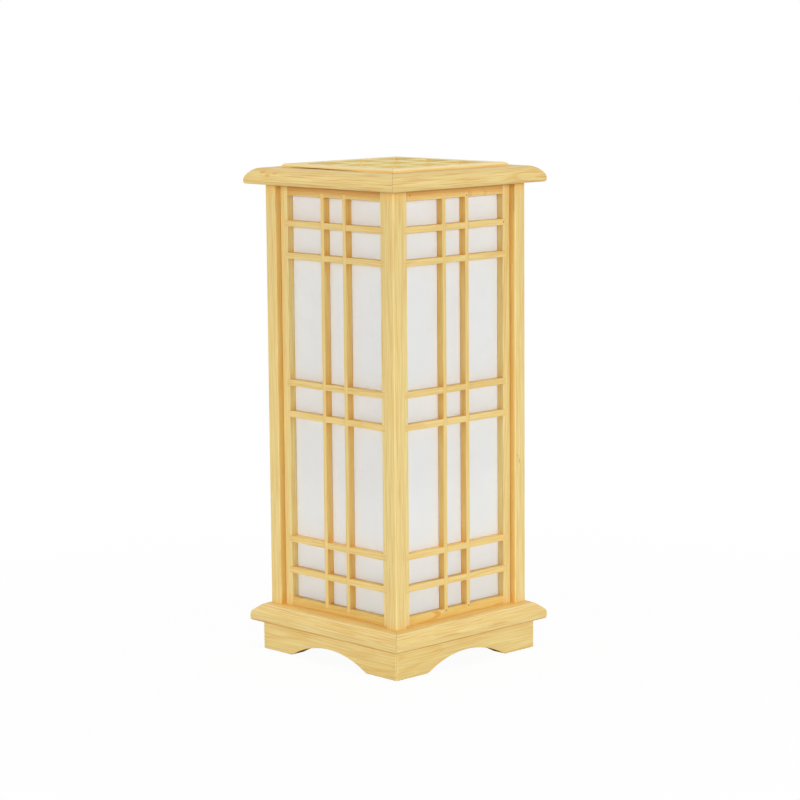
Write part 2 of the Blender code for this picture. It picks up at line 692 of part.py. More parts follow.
leaf = prism(leaf_outline(), "Y", -LEAF_WIDTH / 2, LEAF_WIDTH / 2)
place("holder_leaf_contact", mesh_from(leaf, "leaf_contact", leaf_brass), LEAF_Z)

holder_screw_profile = screw_profile(HOLDER_SCREW_LENGTH)
holder_screw = mesh_from(turned(holder_screw_profile), "holder_screw", screw_steel, smooth=True)
holder_hole_profile = screw_profile(HOLDER_SCREW_LENGTH, FIT_GAP, SCREW_HEAD_HEIGHT)
holder_hole = mesh_from(turned(holder_hole_profile), "holder_screw_hole", holder_plastic)
HOLDER_SCREW_X = HOLDER_RADIUS + HOLDER_FLANGE / 2
HOLDER_SCREW_Z = HOLDER_Z + HOLDER_FLANGE_THICKNESS
for side, x in {"left": -HOLDER_SCREW_X, "right": HOLDER_SCREW_X}.items():
    drilled = [holder, batten]
    screw_and_holes(f"holder_screw_{side}", holder_screw, holder_hole, x, HOLDER_SCREW_Z, True, drilled)


# Bulb: opal glass blown as a pear, cemented into a screw cap with a tip contact

bulb_glass = finish("bulb_glass", OPAL_GLASS, 0.25)
cap_nickel = finish("cap_nickel", NICKEL, 0.3, 1.0)
tip_brass = finish("tip_brass", BRASS, 0.35, 1.0)
bulb_axis = axis_point("bulb_axis", BULB_Z)

tip_profile = [
    (0, 0), (BULB_TIP_RADIUS - BULB_TIP_ROUND, 0), (BULB_TIP_RADIUS, BULB_TIP_ROUND),
    (BULB_TIP_RADIUS, BULB_TIP_HEIGHT), (0, BULB_TIP_HEIGHT)]
tip_mesh = mesh_from(turned(tip_profile), "bulb_tip", tip_brass, smooth=True)
place("bulb_tip_contact", tip_mesh, 0, 0, bulb_axis)

BULB_CAP_Z = BULB_TIP_HEIGHT + FIT_GAP
BULB_CAP_BORE = BULB_CAP_RADIUS - BULB_CAP_WALL
bulb_cap_profile = [
    (0, 0), (BULB_TIP_RADIUS, 0), (BULB_CAP_RADIUS, BULB_CAP_TAPER), (BULB_CAP_RADIUS, BULB_CAP_HEIGHT),
    (BULB_CAP_BORE, BULB_CAP_HEIGHT), (BULB_CAP_BORE, BULB_CAP_TAPER + BULB_CAP_WALL),
    (BULB_TIP_RADIUS, 2 * BULB_CAP_WALL), (0, 2 * BULB_CAP_WALL)]
bulb_cap_mesh = mesh_from(turned(bulb_cap_profile), "bulb_cap", cap_nickel, smooth=True)
place("bulb_screw_cap", bulb_cap_mesh, BULB_CAP_Z, 0, bulb_axis)


def glass_wall(inset):
    """One face of the glass from the neck's rim to the crown, a flare that is tangent to neck and globe."""
    neck = BULB_CAP_BORE - FIT_GAP
    rim = BULB_CAP_HEIGHT - GLASS_SEAT
    flare_z = BULB_CAP_HEIGHT + GLASS_NECK
    across = neck + GLASS_FLARE_RADIUS
    between = GLASS_RADIUS + GLASS_FLARE_RADIUS
    globe_z = flare_z + math.sqrt(between * between - across * across)
    lean = math.degrees(math.acos(across / between))
    flare = arc((across, flare_z), GLASS_FLARE_RADIUS + inset, 180, 180 - lean, 6)
    globe = arc((0, globe_z), GLASS_RADIUS - inset, -lean, 90, 9)
    crown = (0, globe_z + GLASS_RADIUS - inset)
    return [(neck - inset, rim)] + flare + globe[1:-1] + [crown]


glass_profile = list(reversed(glass_wall(GLASS_WALL))) + glass_wall(0)
glass_mesh = mesh_from(turned(glass_profile), "bulb_glass", bulb_glass, smooth=True)
place("bulb_glass", glass_mesh, BULB_CAP_Z, 0, bulb_axis)
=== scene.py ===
"""Looks of the pine and paper bedside lamp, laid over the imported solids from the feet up."""

import math
import random

import bmesh
import bpy
from mathutils import Matrix, Vector, noise


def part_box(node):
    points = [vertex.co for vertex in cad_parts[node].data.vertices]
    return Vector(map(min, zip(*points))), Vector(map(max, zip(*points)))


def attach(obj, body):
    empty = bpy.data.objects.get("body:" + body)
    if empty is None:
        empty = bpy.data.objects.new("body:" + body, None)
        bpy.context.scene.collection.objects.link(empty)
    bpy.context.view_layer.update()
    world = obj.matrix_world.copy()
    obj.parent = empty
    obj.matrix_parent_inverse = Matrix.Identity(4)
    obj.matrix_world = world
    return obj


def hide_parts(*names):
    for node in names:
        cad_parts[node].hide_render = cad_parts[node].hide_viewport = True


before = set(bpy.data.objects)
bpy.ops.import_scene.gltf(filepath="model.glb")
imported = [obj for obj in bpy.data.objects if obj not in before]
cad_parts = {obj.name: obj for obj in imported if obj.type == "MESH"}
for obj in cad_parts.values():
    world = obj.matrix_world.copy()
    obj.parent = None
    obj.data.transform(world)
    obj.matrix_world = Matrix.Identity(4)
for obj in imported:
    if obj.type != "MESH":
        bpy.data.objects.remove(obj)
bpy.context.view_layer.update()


# Apron: four pine boards on edge, mitred at the corners, with a flat arch sawn out of each.
# Flat-sawn wood with a fine, slightly flecked grain, varnished, with painted brown shade and less gloss
# underneath.
# The boards are glued under the base frame, and the lamp stands on their corners.

SIDES = ("front", "right", "back", "left")
FIT_GAP = 0.0003
GLUE_LINE = 0.00004
GAP_FILL = FIT_GAP - GLUE_LINE
MITRE_GLUE_LINE = 0.0001
NEAR_MITRE = 0.0004
NEAR_PLANE = 2e-5
SAME_POINT = 1e-6
FLAT = math.radians(1)
CREASE = 40
LOG_LENGTH = 30
APRON_EASE = 0.0005
APRON_CUT = ((0.045, 0.065), (-0.012, 0.012), (0.97, 1.02))
chance = random.Random(7)


def one_of_each(ranges):
    """One random value from each range: how far out and aside of the heart a board is cut, and its tone."""
    return tuple(chance.uniform(low, high) for low, high in ranges)


def sawn(node):
    """The solid's own shape, its corners joined and its flat faces whole."""
    bm = bmesh.new()
    bm.from_mesh(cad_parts[node].data)
    bmesh.ops.remove_doubles(bm, verts=bm.verts, dist=SAME_POINT)
    bmesh.ops.dissolve_limit(bm, angle_limit=FLAT, verts=bm.verts, edges=bm.edges)
    return bm


def on_mitre(vertex):
    """True for a point on one of the diagonal planes where two boards meet."""
    return abs(abs(vertex.co.x) - abs(vertex.co.y)) < NEAR_MITRE


def off_mitre(edge):
    """True for an edge that doesn't lie in a mitre's cut."""
    a, b = edge.verts
    one_end = a.co.x * b.co.x > 0 and a.co.y * b.co.y > 0
    return not (one_end and on_mitre(a) and on_mitre(b))


def close_mitres(bm, along):
    """Lengthen a board until only a glue line is left at its mitres."""
    for vertex in bm.verts:
        if on_mitre(vertex):
            reach = abs(vertex.co[1 - along]) - MITRE_GLUE_LINE
            vertex.co[along] = math.copysign(reach, vertex.co[along])


def close_gap(bm, axis, place, by):
    """Move the points that lie on one plane, to close the clearance that the solids keep there."""
    for vertex in bm.verts:
        if abs(vertex.co[axis] - place) < NEAR_PLANE:
            vertex.co[axis] += by


def ease(bm, radius, wanted, segments=3):
    """Take the sharpness off the wanted outer edges."""
    edges = []
    for edge in bm.edges:
        outer = edge.is_manifold and edge.is_convex and edge.calc_face_angle() > math.radians(CREASE)
        if outer and wanted(edge):
            edges.append(edge)
    bmesh.ops.bevel(
        bm, geom=edges, offset=radius, segments=segments, profile=0.5, affect="EDGES", clamp_overlap=True)


def piece_from(bm, name, material, crease=CREASE):
    """Make the bmesh an object whose flat faces stay flat and whose rounds are smooth."""
    bmesh.ops.recalc_face_normals(bm, faces=bm.faces)
    for face in bm.faces:
        face.smooth = True
    for edge in bm.edges:
        sharp = not edge.is_manifold or edge.calc_face_angle() > math.radians(crease)
        edge.smooth = not sharp
    mesh = bpy.data.meshes.new(name)
    bm.to_mesh(mesh)
    bm.free()
    mesh.materials.append(material)
    piece = bpy.data.objects.new(name, mesh)
    bpy.context.scene.collection.objects.link(piece)
    flat = piece.modifiers.new("flat_faces", "WEIGHTED_NORMAL")
    flat.keep_sharp = True
    return piece


def lay_grain(mesh, along, out, aside, tone):
    """Give every point its place in the log, along it and across from its heart, and the board's tone."""
    points = [vertex.co.copy() for vertex in mesh.vertices]
    middle = [(min(p[k] for p in points) + max(p[k] for p in points)) / 2 for k in range(3)]
    across = [k for k in range(3) if k != along]
    start = chance.uniform(0, LOG_LENGTH)
    mesh.attributes.new("grain", "FLOAT_VECTOR", "POINT")
    mesh.attributes.new("tone", "FLOAT", "POINT")
    place = mesh.attributes["grain"].data
    shade = mesh.attributes["tone"].data
    for i, p in enumerate(points):
        place[i].vector = (
            start + p[along] - middle[along],
            out + p[across[0]] - middle[across[0]],
            aside + p[across[1]] - middle[across[1]])
        shade[i].value = tone


def dress(piece, body, slot, *nodes):
    """Let a piece stand for its solids and move with their body. The slot is not used."""
    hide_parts(*nodes)
    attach(piece, body)


def new_finish(name):
    """A new material, its node tree and its main shader."""
    material = bpy.data.materials.new(name)
    material.use_nodes = True
    return material, material.node_tree, material.node_tree.nodes["Principled BSDF"]


def node_in(tree, kind, inputs=None, **settings):
    """Add a shader node. Inputs are values or the outputs of other nodes."""
    made = tree.nodes.new(kind)
    for setting, value in settings.items():
        setattr(made, setting, value)
    for socket, value in (inputs or {}).items():
        if isinstance(value, bpy.types.NodeSocket):
            tree.links.new(value, made.inputs[socket])
        else:
            made.inputs[socket].default_value = value
    return made


def math_in(tree, operation, *values):
    """Add a math node and return its result."""
    return node_in(tree, "ShaderNodeMath", dict(enumerate(values)), operation=operation).outputs[0]


def vector_in(tree, operation, *values):
    """Add a vector math node and return its result, which is one number for a length."""
    made = node_in(tree, "ShaderNodeVectorMath", dict(enumerate(values)), operation=operation)
    return made.outputs["Value" if operation == "LENGTH" else "Vector"]


def axis_in(tree, vector, axis):
    """One coordinate of a vector."""
    return node_in(tree, "ShaderNodeSeparateXYZ", {0: vector}).outputs[axis]


def attribute_in(tree, name, output="Fac"):
    """A value that the mesh carries."""
    return node_in(tree, "ShaderNodeAttribute", attribute_name=name).outputs[output]


def noise_in(tree, place, cycles, detail):
    """Noise over a place, with its own number of cycles per metre along each axis."""
    spread = vector_in(tree, "MULTIPLY", place, cycles)
    grain = node_in(tree, "ShaderNodeTexNoise", {"Vector": spread, "Scale": 1.0, "Detail": detail})
    return grain.outputs["Fac"]


def share_in(tree, value, low, high, least=0.0, most=1.0):
    """A value between two limits turned into a share between two others."""
    limits = {0: value, 1: low, 2: high, 3: least, 4: most}
    return node_in(tree, "ShaderNodeMapRange", limits, interpolation_type="SMOOTHSTEP").outputs[0]


def colour_mix_in(tree, share, first, second):
    """Mix two colours."""
    return node_in(tree, "ShaderNodeMix", {0: share, 6: first, 7: second}, data_type="RGBA").outputs[2]


def emboss(tree, shader, height, strength, distance):
    """Give a shader a fine relief."""
    bump = node_in(tree, "ShaderNodeBump", {"Strength": strength, "Distance": distance, "Height": height})
    tree.links.new(bump.outputs[0], shader.inputs["Normal"])


# Painted shade colours, for corners, level faces and under ledges.
PAINTED_SHADE_AMBER = (0.80, 0.46, 0.10, 1)
PAINTED_DEEP_SHADE = (0.64, 0.31, 0.055, 1)
DARK_FIBRE = (0.945, 0.875, 0.72, 1)
PALE_FIBRE = (1.025, 1.05, 1.10, 1)
WARM_RED = (0.72, 0.42, 0.12)
RESIN = (0.68, 0.38, 0.12, 1)
# A painted highlight colour.
HIGHLIGHT_PALE = (0.88, 0.74, 0.42, 1)
# A painted shade colour for faces turned down.
UNDERSIDE_SHADE_BROWN = (0.52, 0.265, 0.075, 1)
KNOT_BROWN = (0.72, 0.36, 0.08)
KNOT_DRAWN = 0.5
KNOT_CORE = (0.3, 1.3)
KNOT_BEND = (0.5, 4)
KNOT_SHARE = 0.75
HIGHLIGHT_SHARE = 0.6
TRUNK_TAPER = 0.03
SWAY_ACROSS = (14, 14)
RIPPLE_CYCLES = (16, 90, 90)
RIPPLE_DEPTH = 0.0016
FIBRE_CYCLES = (22, 1000, 1000)
PATCH_CYCLES = (6, 40, 40)
DASH_CYCLES = (26, 1000, 1000)
SUMMER_END = 0.88
WINTER = (0.90, 1.0)
FAINTEST_RING = 0.12
MIDDLE_NOISE = (0.3, 0.7)
PATCH_NOISE = (0.52, 0.74)
DASH_NOISE = (0.60, 0.67)
CORNER_AIR = (0.4, 0.98)
DEEP_AIR = (0.88, 0.975)
FOOT_HEIGHTS = (0.006, 0.016)
LEVEL_FACES = (0.94, 0.99)
UNDER_FACES = (-0.75, -0.4)
DULL_FACES = (-0.3, -0.05)
GLOSS = 0.5
POLISH = 0.1
RING_RELIEF = 0.6
GRAIN_STRENGTH = 0.35
GRAIN_DEPTH = 0.00012


def knots_in(tree, spot, knots):
    """How much of a place is knot, and how far the knots push the rings outward there."""
    core = 0.0
    push = 0.0
    for centre, size, axis in knots:
        squeeze = [KNOT_DRAWN if k == axis else 1.0 for k in range(3)]
        drawn = vector_in(tree, "MULTIPLY", vector_in(tree, "SUBTRACT", spot, centre), squeeze)
        away = vector_in(tree, "LENGTH", drawn)
        brown = share_in(tree, away, KNOT_CORE[0] * size, KNOT_CORE[1] * size, 1.0, 0.0)
        bend = share_in(tree, away, KNOT_BEND[0] * size, KNOT_BEND[1] * size, size, 0.0)
        core = math_in(tree, "MAXIMUM", core, brown)
        push = math_in(tree, "ADD", push, bend)
    return core, push


def latewood_in(tree, place, push, ring, wander, swing, early, figure):
    """How strongly the late wood of a year's ring shows at a place in the log."""
    radius = vector_in(tree, "LENGTH", vector_in(tree, "MULTIPLY", place, (0, 1, 1)))
    radius = math_in(tree, "MULTIPLY_ADD", axis_in(tree, place, 0), TRUNK_TAPER, radius)
    sway = noise_in(tree, place, (swing, *SWAY_ACROSS), detail=1.0)
    radius = math_in(tree, "MULTIPLY_ADD", sway, wander, radius)
    ripple = noise_in(tree, place, RIPPLE_CYCLES, detail=2.0)
    radius = math_in(tree, "MULTIPLY_ADD", ripple, RIPPLE_DEPTH, radius)
    rings = math_in(tree, "DIVIDE", math_in(tree, "ADD", radius, push), ring)
    season = math_in(tree, "FRACT", rings)
    year = math_in(tree, "FLOOR", rings)
    vigour = node_in(tree, "ShaderNodeTexWhiteNoise", {"W": year}, noise_dimensions="1D").outputs["Value"]
    vigour = math_in(tree, "MULTIPLY", vigour, vigour)
    strength = math_in(tree, "MULTIPLY_ADD", vigour, figure, FAINTEST_RING)
    summer = share_in(tree, season, early, SUMMER_END)
    winter = share_in(tree, season, *WINTER, 1.0, 0.0)
    return math_in(tree, "MULTIPLY", math_in(tree, "MULTIPLY", summer, winter), strength)


def painted_shade_in(tree, colour, spot, upward, corner_shade, reach, level_shade, ledge_shade):
    """Paint amber shade into a colour: in corners off the floor, on level faces and under ledges."""
    open_to_air = node_in(tree, "ShaderNodeAmbientOcclusion", {"Distance": reach}, samples=6).outputs["AO"]
    corner = share_in(tree, open_to_air, *CORNER_AIR, corner_shade, 0.0)
    off_floor = share_in(tree, axis_in(tree, spot, 2), *FOOT_HEIGHTS)
    level = share_in(tree, upward, *LEVEL_FACES, 0.0, level_shade)
    corner_and_level_shade = math_in(tree, "MAXIMUM", math_in(tree, "MULTIPLY", corner, off_floor), level)
    colour = colour_mix_in(tree, corner_and_level_shade, colour, PAINTED_SHADE_AMBER)
    return colour_mix_in(tree, share_in(tree, open_to_air, *DEEP_AIR, ledge_shade, 0.0), colour, PAINTED_DEEP_SHADE)


def pine(name, pale, late, ring=0.0024, wander=0.007, swing=3, early=0.35, figure=0.7, fleck=0.25,
         blush=0.25, corner_shade=0.9, reach=0.014, level_shade=0.0, ledge_shade=0.0, rough=0.62, painted_underside_shade=False, knots=(),
         knot=KNOT_BROWN):
    """Varnished pine, from the colours of its pale wood and of the late wood in its rings.

    Ring is a ring's width, wander and swing say how far and how often it bends, early when its late wood
    starts and figure how strongly that shows. Fleck and blush are shares of resin streaks and warm patches.
    Three shares paint amber shade: in corners, on level faces and under ledges, and reach is how far from a
    corner or ledge that shade spreads. Rough is the dull end of the polish. Faces turned down can get
    painted brown shade and less gloss, and marked faces get a pale painted highlight. A knot is a place, a
    radius and the axis that it is drawn out along.
    """
    material, tree, shader = new_finish(name)
    place = attribute_in(tree, "grain", "Vector")
    spot = node_in(tree, "ShaderNodeTexCoord").outputs["Object"]
    upward = axis_in(tree, node_in(tree, "ShaderNodeNewGeometry").outputs["Normal"], 2)
    core, push = knots_in(tree, spot, knots)
    latewood = latewood_in(tree, place, push, ring, wander, swing, early, figure)
    fibre = noise_in(tree, place, FIBRE_CYCLES, detail=3.0)
    patch = noise_in(tree, place, PATCH_CYCLES, detail=3.0)
    dash = noise_in(tree, place, DASH_CYCLES, detail=0.0)

    warm = tuple((a + b) / 2 for a, b in zip(late, WARM_RED))
    colour = colour_mix_in(tree, latewood, (*pale, 1), (*late, 1))
    colour = colour_mix_in(tree, share_in(tree, patch, *PATCH_NOISE, 0.0, blush), colour, (*warm, 1))
    colour = colour_mix_in(tree, share_in(tree, dash, *DASH_NOISE, 0.0, fleck), colour, RESIN)
    colour = colour_mix_in(tree, math_in(tree, "MULTIPLY", core, KNOT_SHARE), colour, (*knot, 1))
    # Painted shade: amber in corners, on level faces and under ledges.
    colour = painted_shade_in(tree, colour, spot, upward, corner_shade, reach, level_shade, ledge_shade)
    streak = colour_mix_in(tree, share_in(tree, fibre, *MIDDLE_NOISE), DARK_FIBRE, PALE_FIBRE)
    colour = vector_in(tree, "MULTIPLY", colour, streak)
    # Painted highlight: marked faces are made pale.
    painted_highlight = math_in(tree, "MULTIPLY", attribute_in(tree, "painted_highlight"), HIGHLIGHT_SHARE)
    colour = colour_mix_in(tree, painted_highlight, colour, HIGHLIGHT_PALE)
    # Painted shade: faces turned down are made brown, and given less gloss.
    if painted_underside_shade:
        under = share_in(tree, upward, *UNDER_FACES, 1.0, 0.0)
        colour = colour_mix_in(tree, under, colour, UNDERSIDE_SHADE_BROWN)
        gloss = share_in(tree, upward, *DULL_FACES, 0.0, GLOSS)
        tree.links.new(gloss, shader.inputs["Specular IOR Level"])
    toned = {0: colour, 3: attribute_in(tree, "tone")}
    colour = node_in(tree, "ShaderNodeVectorMath", toned, operation="SCALE").outputs[0]
    tree.links.new(colour, shader.inputs["Base Color"])
    polish = share_in(tree, fibre, *MIDDLE_NOISE, rough, rough - POLISH)
    tree.links.new(polish, shader.inputs["Roughness"])
    relief = math_in(tree, "MULTIPLY_ADD", latewood, RING_RELIEF, fibre)
    emboss(tree, shader, relief, GRAIN_STRENGTH, GRAIN_DEPTH)
    return material


apron_pine = pine(
    "apron_pine", (0.845, 0.665, 0.265), (0.77, 0.53, 0.15), ring=0.0016, figure=0.6, fleck=0.35, blush=0.2,
    corner_shade=0.3, painted_underside_shade=True)
for quarter, side in enumerate(SIDES):
    along = quarter % 2
    node = f"{side}_apron"
    board = sawn(node)
    close_mitres(board, along)
    close_gap(board, 2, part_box(node)[1].z, GAP_FILL)
    ease(board, APRON_EASE, off_mitre)
    apron = piece_from(board, f"apron_{side}", apron_pine)
    lay_grain(apron.data, along, *one_of_each(APRON_CUT))
    dress(apron, "lamp_body", "pine_apron", node)


# Base frame: four lengths of pine moulding, mitred and glued into a square, with painted brown shade
# underneath.
# Above a rounded nose the edge is planed in two facets, which meet in a fine line with a pale painted
# highlight.

NOSE_HEIGHT = 0.0082
NOSE_ROUND_INSET = 0.0015
RIDGE_INSET = 0.0079
NEAR_RIDGE = 0.0008
RIDGE_RISE = 0.0004
RIDGE_WIDTH = 0.001
BELOW_TOP = 1e-4
LENGTHWISE = 0.05
MOULDING_EASE = 0.0004
MOULDING_CUT = ((0.05, 0.08), (0.02, 0.05), (0.985, 1.02))


def outer_face(bm, along):
    """How far out from the lamp's axis a length reaches."""
    return max(abs(vertex.co[1 - along]) for vertex in bm.verts)


def facet(length, along):
    """Plane the bulged edge of a moulding into two facets and return the ridge where they meet."""
    foot = min(vertex.co.z for vertex in length.verts)
    top = max(vertex.co.z for vertex in length.verts)
    outer = outer_face(length, along)
    ridge = []
    spare = []
    for edge in length.edges:
        a, b = (vertex.co for vertex in edge.verts)
        inset = outer - abs(a[1 - along])
        shaped = inset > NOSE_ROUND_INSET and foot + NOSE_HEIGHT < a.z < top - BELOW_TOP
        if shaped and abs(a[along] - b[along]) > LENGTHWISE:
            near = abs(inset - RIDGE_INSET) < NEAR_RIDGE
            (ridge if near else spare).append(edge)
    for edge in ridge:
        for vertex in edge.verts:
            vertex.co.z += RIDGE_RISE
    bmesh.ops.dissolve_edges(length, edges=spare, use_verts=True)
    return ridge


def moulded(node, name, along, wood, shape, line):
    """One length of moulding. Shape works its edge and returns the lines that then get a pale painted
    highlight.
    """
    length = sawn(node)
    painted_highlight = length.faces.layers.float.new("painted_highlight")
    close_mitres(length, along)
    lines = shape(length, along)
    # The lines become narrow strips with a pale painted highlight.
    highlight_strip = bmesh.ops.bevel(length, geom=lines, offset=line / 2, segments=1, affect="EDGES")
    for face in highlight_strip["faces"]:
        face[painted_highlight] = 1.0
    ease(length, MOULDING_EASE, off_mitre)
    piece = piece_from(length, name, wood)
    lay_grain(piece.data, along, *one_of_each(MOULDING_CUT))
    return piece


# The base frame gets painted amber shade in its corners and on its level top.
base_pine = pine(
    "base_pine", (0.80, 0.627, 0.262), (0.73, 0.488, 0.145), ring=0.0018, figure=0.8, fleck=0.6, corner_shade=0.85,
    reach=0.03, level_shade=0.4, painted_underside_shade=True)
for quarter, side in enumerate(SIDES):
    node = f"{side}_base_moulding"
    piece = moulded(node, f"base_frame_{side}", quarter % 2, base_pine, facet, RIDGE_WIDTH)
    dress(piece, "lamp_body", "pine_moulding", node)


# Batten: a pine board across the opening of the base, under the lamp holder, with a hole for the cable.
# It is screwed up into the left and right lengths of the base frame.

LONG_EDGE = 0.012
BATTEN_EASE = 0.0006
BATTEN_CUT = ((0.03, 0.05), (0.02, 0.04))
BATTEN_TONE = 0.98


def long_edge(edge):
    """True for an edge that runs along a stick, and not round a hole, a notch or a tenon."""
    return edge.calc_length() > LONG_EDGE


batten_pine = pine("batten_pine", (0.80, 0.60, 0.25), (0.68, 0.43, 0.13), ring=0.0026, fleck=0.4, blush=0.4)
board = sawn("holder_batten")
ease(board, BATTEN_EASE, long_edge)
batten = piece_from(board, "batten", batten_pine)
lay_grain(batten.data, 0, *one_of_each(BATTEN_CUT), BATTEN_TONE)
dress(batten, "lamp_body", "pine_batten", "holder_batten")


# Cable grommet: a black rubber ring pressed into the batten's hole from below.
# Its thick round lip keeps the cable off the wood.

ROUND_STEPS = 64
grommet_low, grommet_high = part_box("cable_grommet")
LIP_RADIUS = grommet_high.x
LIP_THICKNESS = 0.0015
LIP_ROUND = LIP_THICKNESS / 2
SLEEVE_RADIUS = 0.0047
BORE_RADIUS = 0.0035
RUBBER_ROUND = 0.0005
SPECK_FINENESS = 9
SPECK_STRENGTH = 0.3


def arc(centre, radius, start, end, steps):
    """Points on an arc, both ends included; angles in degrees."""
    angles = [math.radians(start + (end - start) * i / steps) for i in range(steps + 1)]
    return [(centre[0] + radius * math.cos(a), centre[1] + radius * math.sin(a)) for a in angles]


def turned(profile, closed=False, thread=None):
    """Turn a profile of (radius, z) points about Z. A thread gives the depth of its cut at a place."""
    bm = bmesh.new()
    rings = []
    for radius, z in profile:
        if radius == 0:
            rings.append([bm.verts.new((0, 0, z))] * ROUND_STEPS)
            continue
        ring = []
        for k in range(ROUND_STEPS):
            angle = 2 * math.pi * k / ROUND_STEPS
            reach = radius - thread(angle, z) if thread else radius
            ring.append(bm.verts.new((reach * math.cos(angle), reach * math.sin(angle), z)))
        rings.append(ring)
    pairs = list(zip(rings, rings[1:]))
    if closed:
        pairs.append((rings[-1], rings[0]))
    for lower, upper in pairs:
        for k in range(ROUND_STEPS):
            corners = (lower[k - 1], lower[k], upper[k], upper[k - 1])
            bm.faces.new(list(dict.fromkeys(corners)))
    return bm


def plain_finish(name, dark, light, cycles, smooth, rough, relief, metal=0.0, coat=0.0, coat_rough=0.03):
    """A finish of one colour with a slow cloudiness, an uneven polish and a fine relief."""
    material, tree, shader = new_finish(name)
    shader.inputs["Metallic"].default_value = metal
    shader.inputs["Coat Weight"].default_value = coat
    shader.inputs["Coat Roughness"].default_value = coat_rough
    place = node_in(tree, "ShaderNodeTexCoord").outputs["Object"]
    cloud = noise_in(tree, place, [cycles] * 3, detail=3.0)
    speck = noise_in(tree, place, [cycles * SPECK_FINENESS] * 3, detail=2.0)
    share = share_in(tree, cloud, *MIDDLE_NOISE)
    tree.links.new(colour_mix_in(tree, share, (*dark, 1), (*light, 1)), shader.inputs["Base Color"])
    tree.links.new(share_in(tree, speck, *MIDDLE_NOISE, smooth, rough), shader.inputs["Roughness"])
    emboss(tree, shader, speck, SPECK_STRENGTH, relief)
    return material


rubber = plain_finish(
    "black_rubber", (0.018, 0.018, 0.018), (0.034, 0.033, 0.032), cycles=160, smooth=0.55, rough=0.75,
    relief=0.00008)
sleeve_top = grommet_high.z - RUBBER_ROUND
profile = arc((LIP_RADIUS - LIP_ROUND, grommet_low.z + LIP_ROUND), LIP_ROUND, -90, 90, steps=8)
profile += [(SLEEVE_RADIUS, grommet_low.z + LIP_THICKNESS)]
profile += arc((SLEEVE_RADIUS - RUBBER_ROUND, sleeve_top), RUBBER_ROUND, 0, 90, steps=3)
profile += arc((BORE_RADIUS + RUBBER_ROUND, sleeve_top), RUBBER_ROUND, 90, 180, steps=3)
profile += arc((BORE_RADIUS + RUBBER_ROUND, grommet_low.z + RUBBER_ROUND), RUBBER_ROUND, 180, 270, steps=3)
grommet = piece_from(turned(profile, closed=True), "grommet", rubber)
dress(grommet, "lamp_body", "rubber", "cable_grommet")


# Lamp holder: a white moulded body with a round flange, screwed down on the batten over the cable hole.
# Its flange has two countersunk holes, and a shallow groove runs round the body.

holder_low, holder_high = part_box("lamp_holder")
FLANGE_RADIUS = holder_high.x
FLANGE_TOP = holder_low.z + 0.005
FLANGE_FOOT_ROUND = 0.0004
FLANGE_ROUND = 0.0009
FLANGE_FILLET = 0.0008
HOLDER_RADIUS = 0.0192
HOLDER_RIM_ROUND = 0.0015
HOLDER_BORE = 0.0142
HOLDER_BORE_ROUND = 0.0006
HOLDER_FLOOR = holder_low.z + 0.009
WIRE_RECESS_RADIUS = 0.012
WIRE_RECESS_TOP = holder_low.z + 0.005
GROOVE_Z = holder_low.z + 0.030
GROOVE_ROUND = 0.0009
GROOVE_OUT = 0.0004
GROOVE_SWING = 63
HOLDER_SCREW_X = 0.02345
SCREW_HEAD_RADIUS = 0.003
SCREW_HEAD_HEIGHT = 0.002
SCREW_SHANK_RADIUS = 0.0015
SCREW_HOLE_GAP = 0.0003
SCREW_HOLE_DEPTH = 0.01


def carve(solid, cutter):
    """Cut one bmesh out of another."""
    blanks = []
    for bm in (solid, cutter):
        bmesh.ops.recalc_face_normals(bm, faces=bm.faces)
        mesh = bpy.data.meshes.new("blank")
        bm.to_mesh(mesh)
        bm.free()
        blank = bpy.data.objects.new("blank", mesh)
        bpy.context.scene.collection.objects.link(blank)
        blanks.append(blank)
    cut = blanks[0].modifiers.new("cut", "BOOLEAN")
    cut.object = blanks[1]
    shaped = bmesh.new()
    shaped.from_object(blanks[0], bpy.context.evaluated_depsgraph_get())
    for blank in blanks:
        mesh = blank.data
        bpy.data.objects.remove(blank)
        bpy.data.meshes.remove(mesh)
    return shaped


plastic = plain_finish(
    "white_plastic", (0.76, 0.75, 0.71), (0.82, 0.81, 0.78), cycles=60, smooth=0.28, rough=0.42,
    relief=0.00006, coat=0.2)
groove_centre = (HOLDER_RADIUS + GROOVE_OUT, GROOVE_Z)
rim_centre = (HOLDER_RADIUS - HOLDER_RIM_ROUND, holder_high.z - HOLDER_RIM_ROUND)
bore_centre = (HOLDER_BORE + HOLDER_BORE_ROUND, holder_high.z - HOLDER_BORE_ROUND)
foot_centre = (FLANGE_RADIUS - FLANGE_FOOT_ROUND, holder_low.z + FLANGE_FOOT_ROUND)
profile = [(0, WIRE_RECESS_TOP), (WIRE_RECESS_RADIUS, WIRE_RECESS_TOP), (WIRE_RECESS_RADIUS, holder_low.z)]
profile += arc(foot_centre, FLANGE_FOOT_ROUND, -90, 0, steps=2)
profile += arc((FLANGE_RADIUS - FLANGE_ROUND, FLANGE_TOP - FLANGE_ROUND), FLANGE_ROUND, 0, 90, steps=4)
profile += arc((HOLDER_RADIUS + FLANGE_FILLET, FLANGE_TOP + FLANGE_FILLET), FLANGE_FILLET, 270, 180, steps=4)
profile += arc(groove_centre, GROOVE_ROUND, 180 + GROOVE_SWING, 180 - GROOVE_SWING, steps=6)
profile += arc(rim_centre, HOLDER_RIM_ROUND, 0, 90, steps=5)
profile += arc(bore_centre, HOLDER_BORE_ROUND, 90, 180, steps=3)
profile += [(HOLDER_BORE, HOLDER_FLOOR), (0, HOLDER_FLOOR)]
body = turned(profile)
head_hole = SCREW_HEAD_RADIUS + SCREW_HOLE_GAP
shank_hole = SCREW_SHANK_RADIUS + SCREW_HOLE_GAP
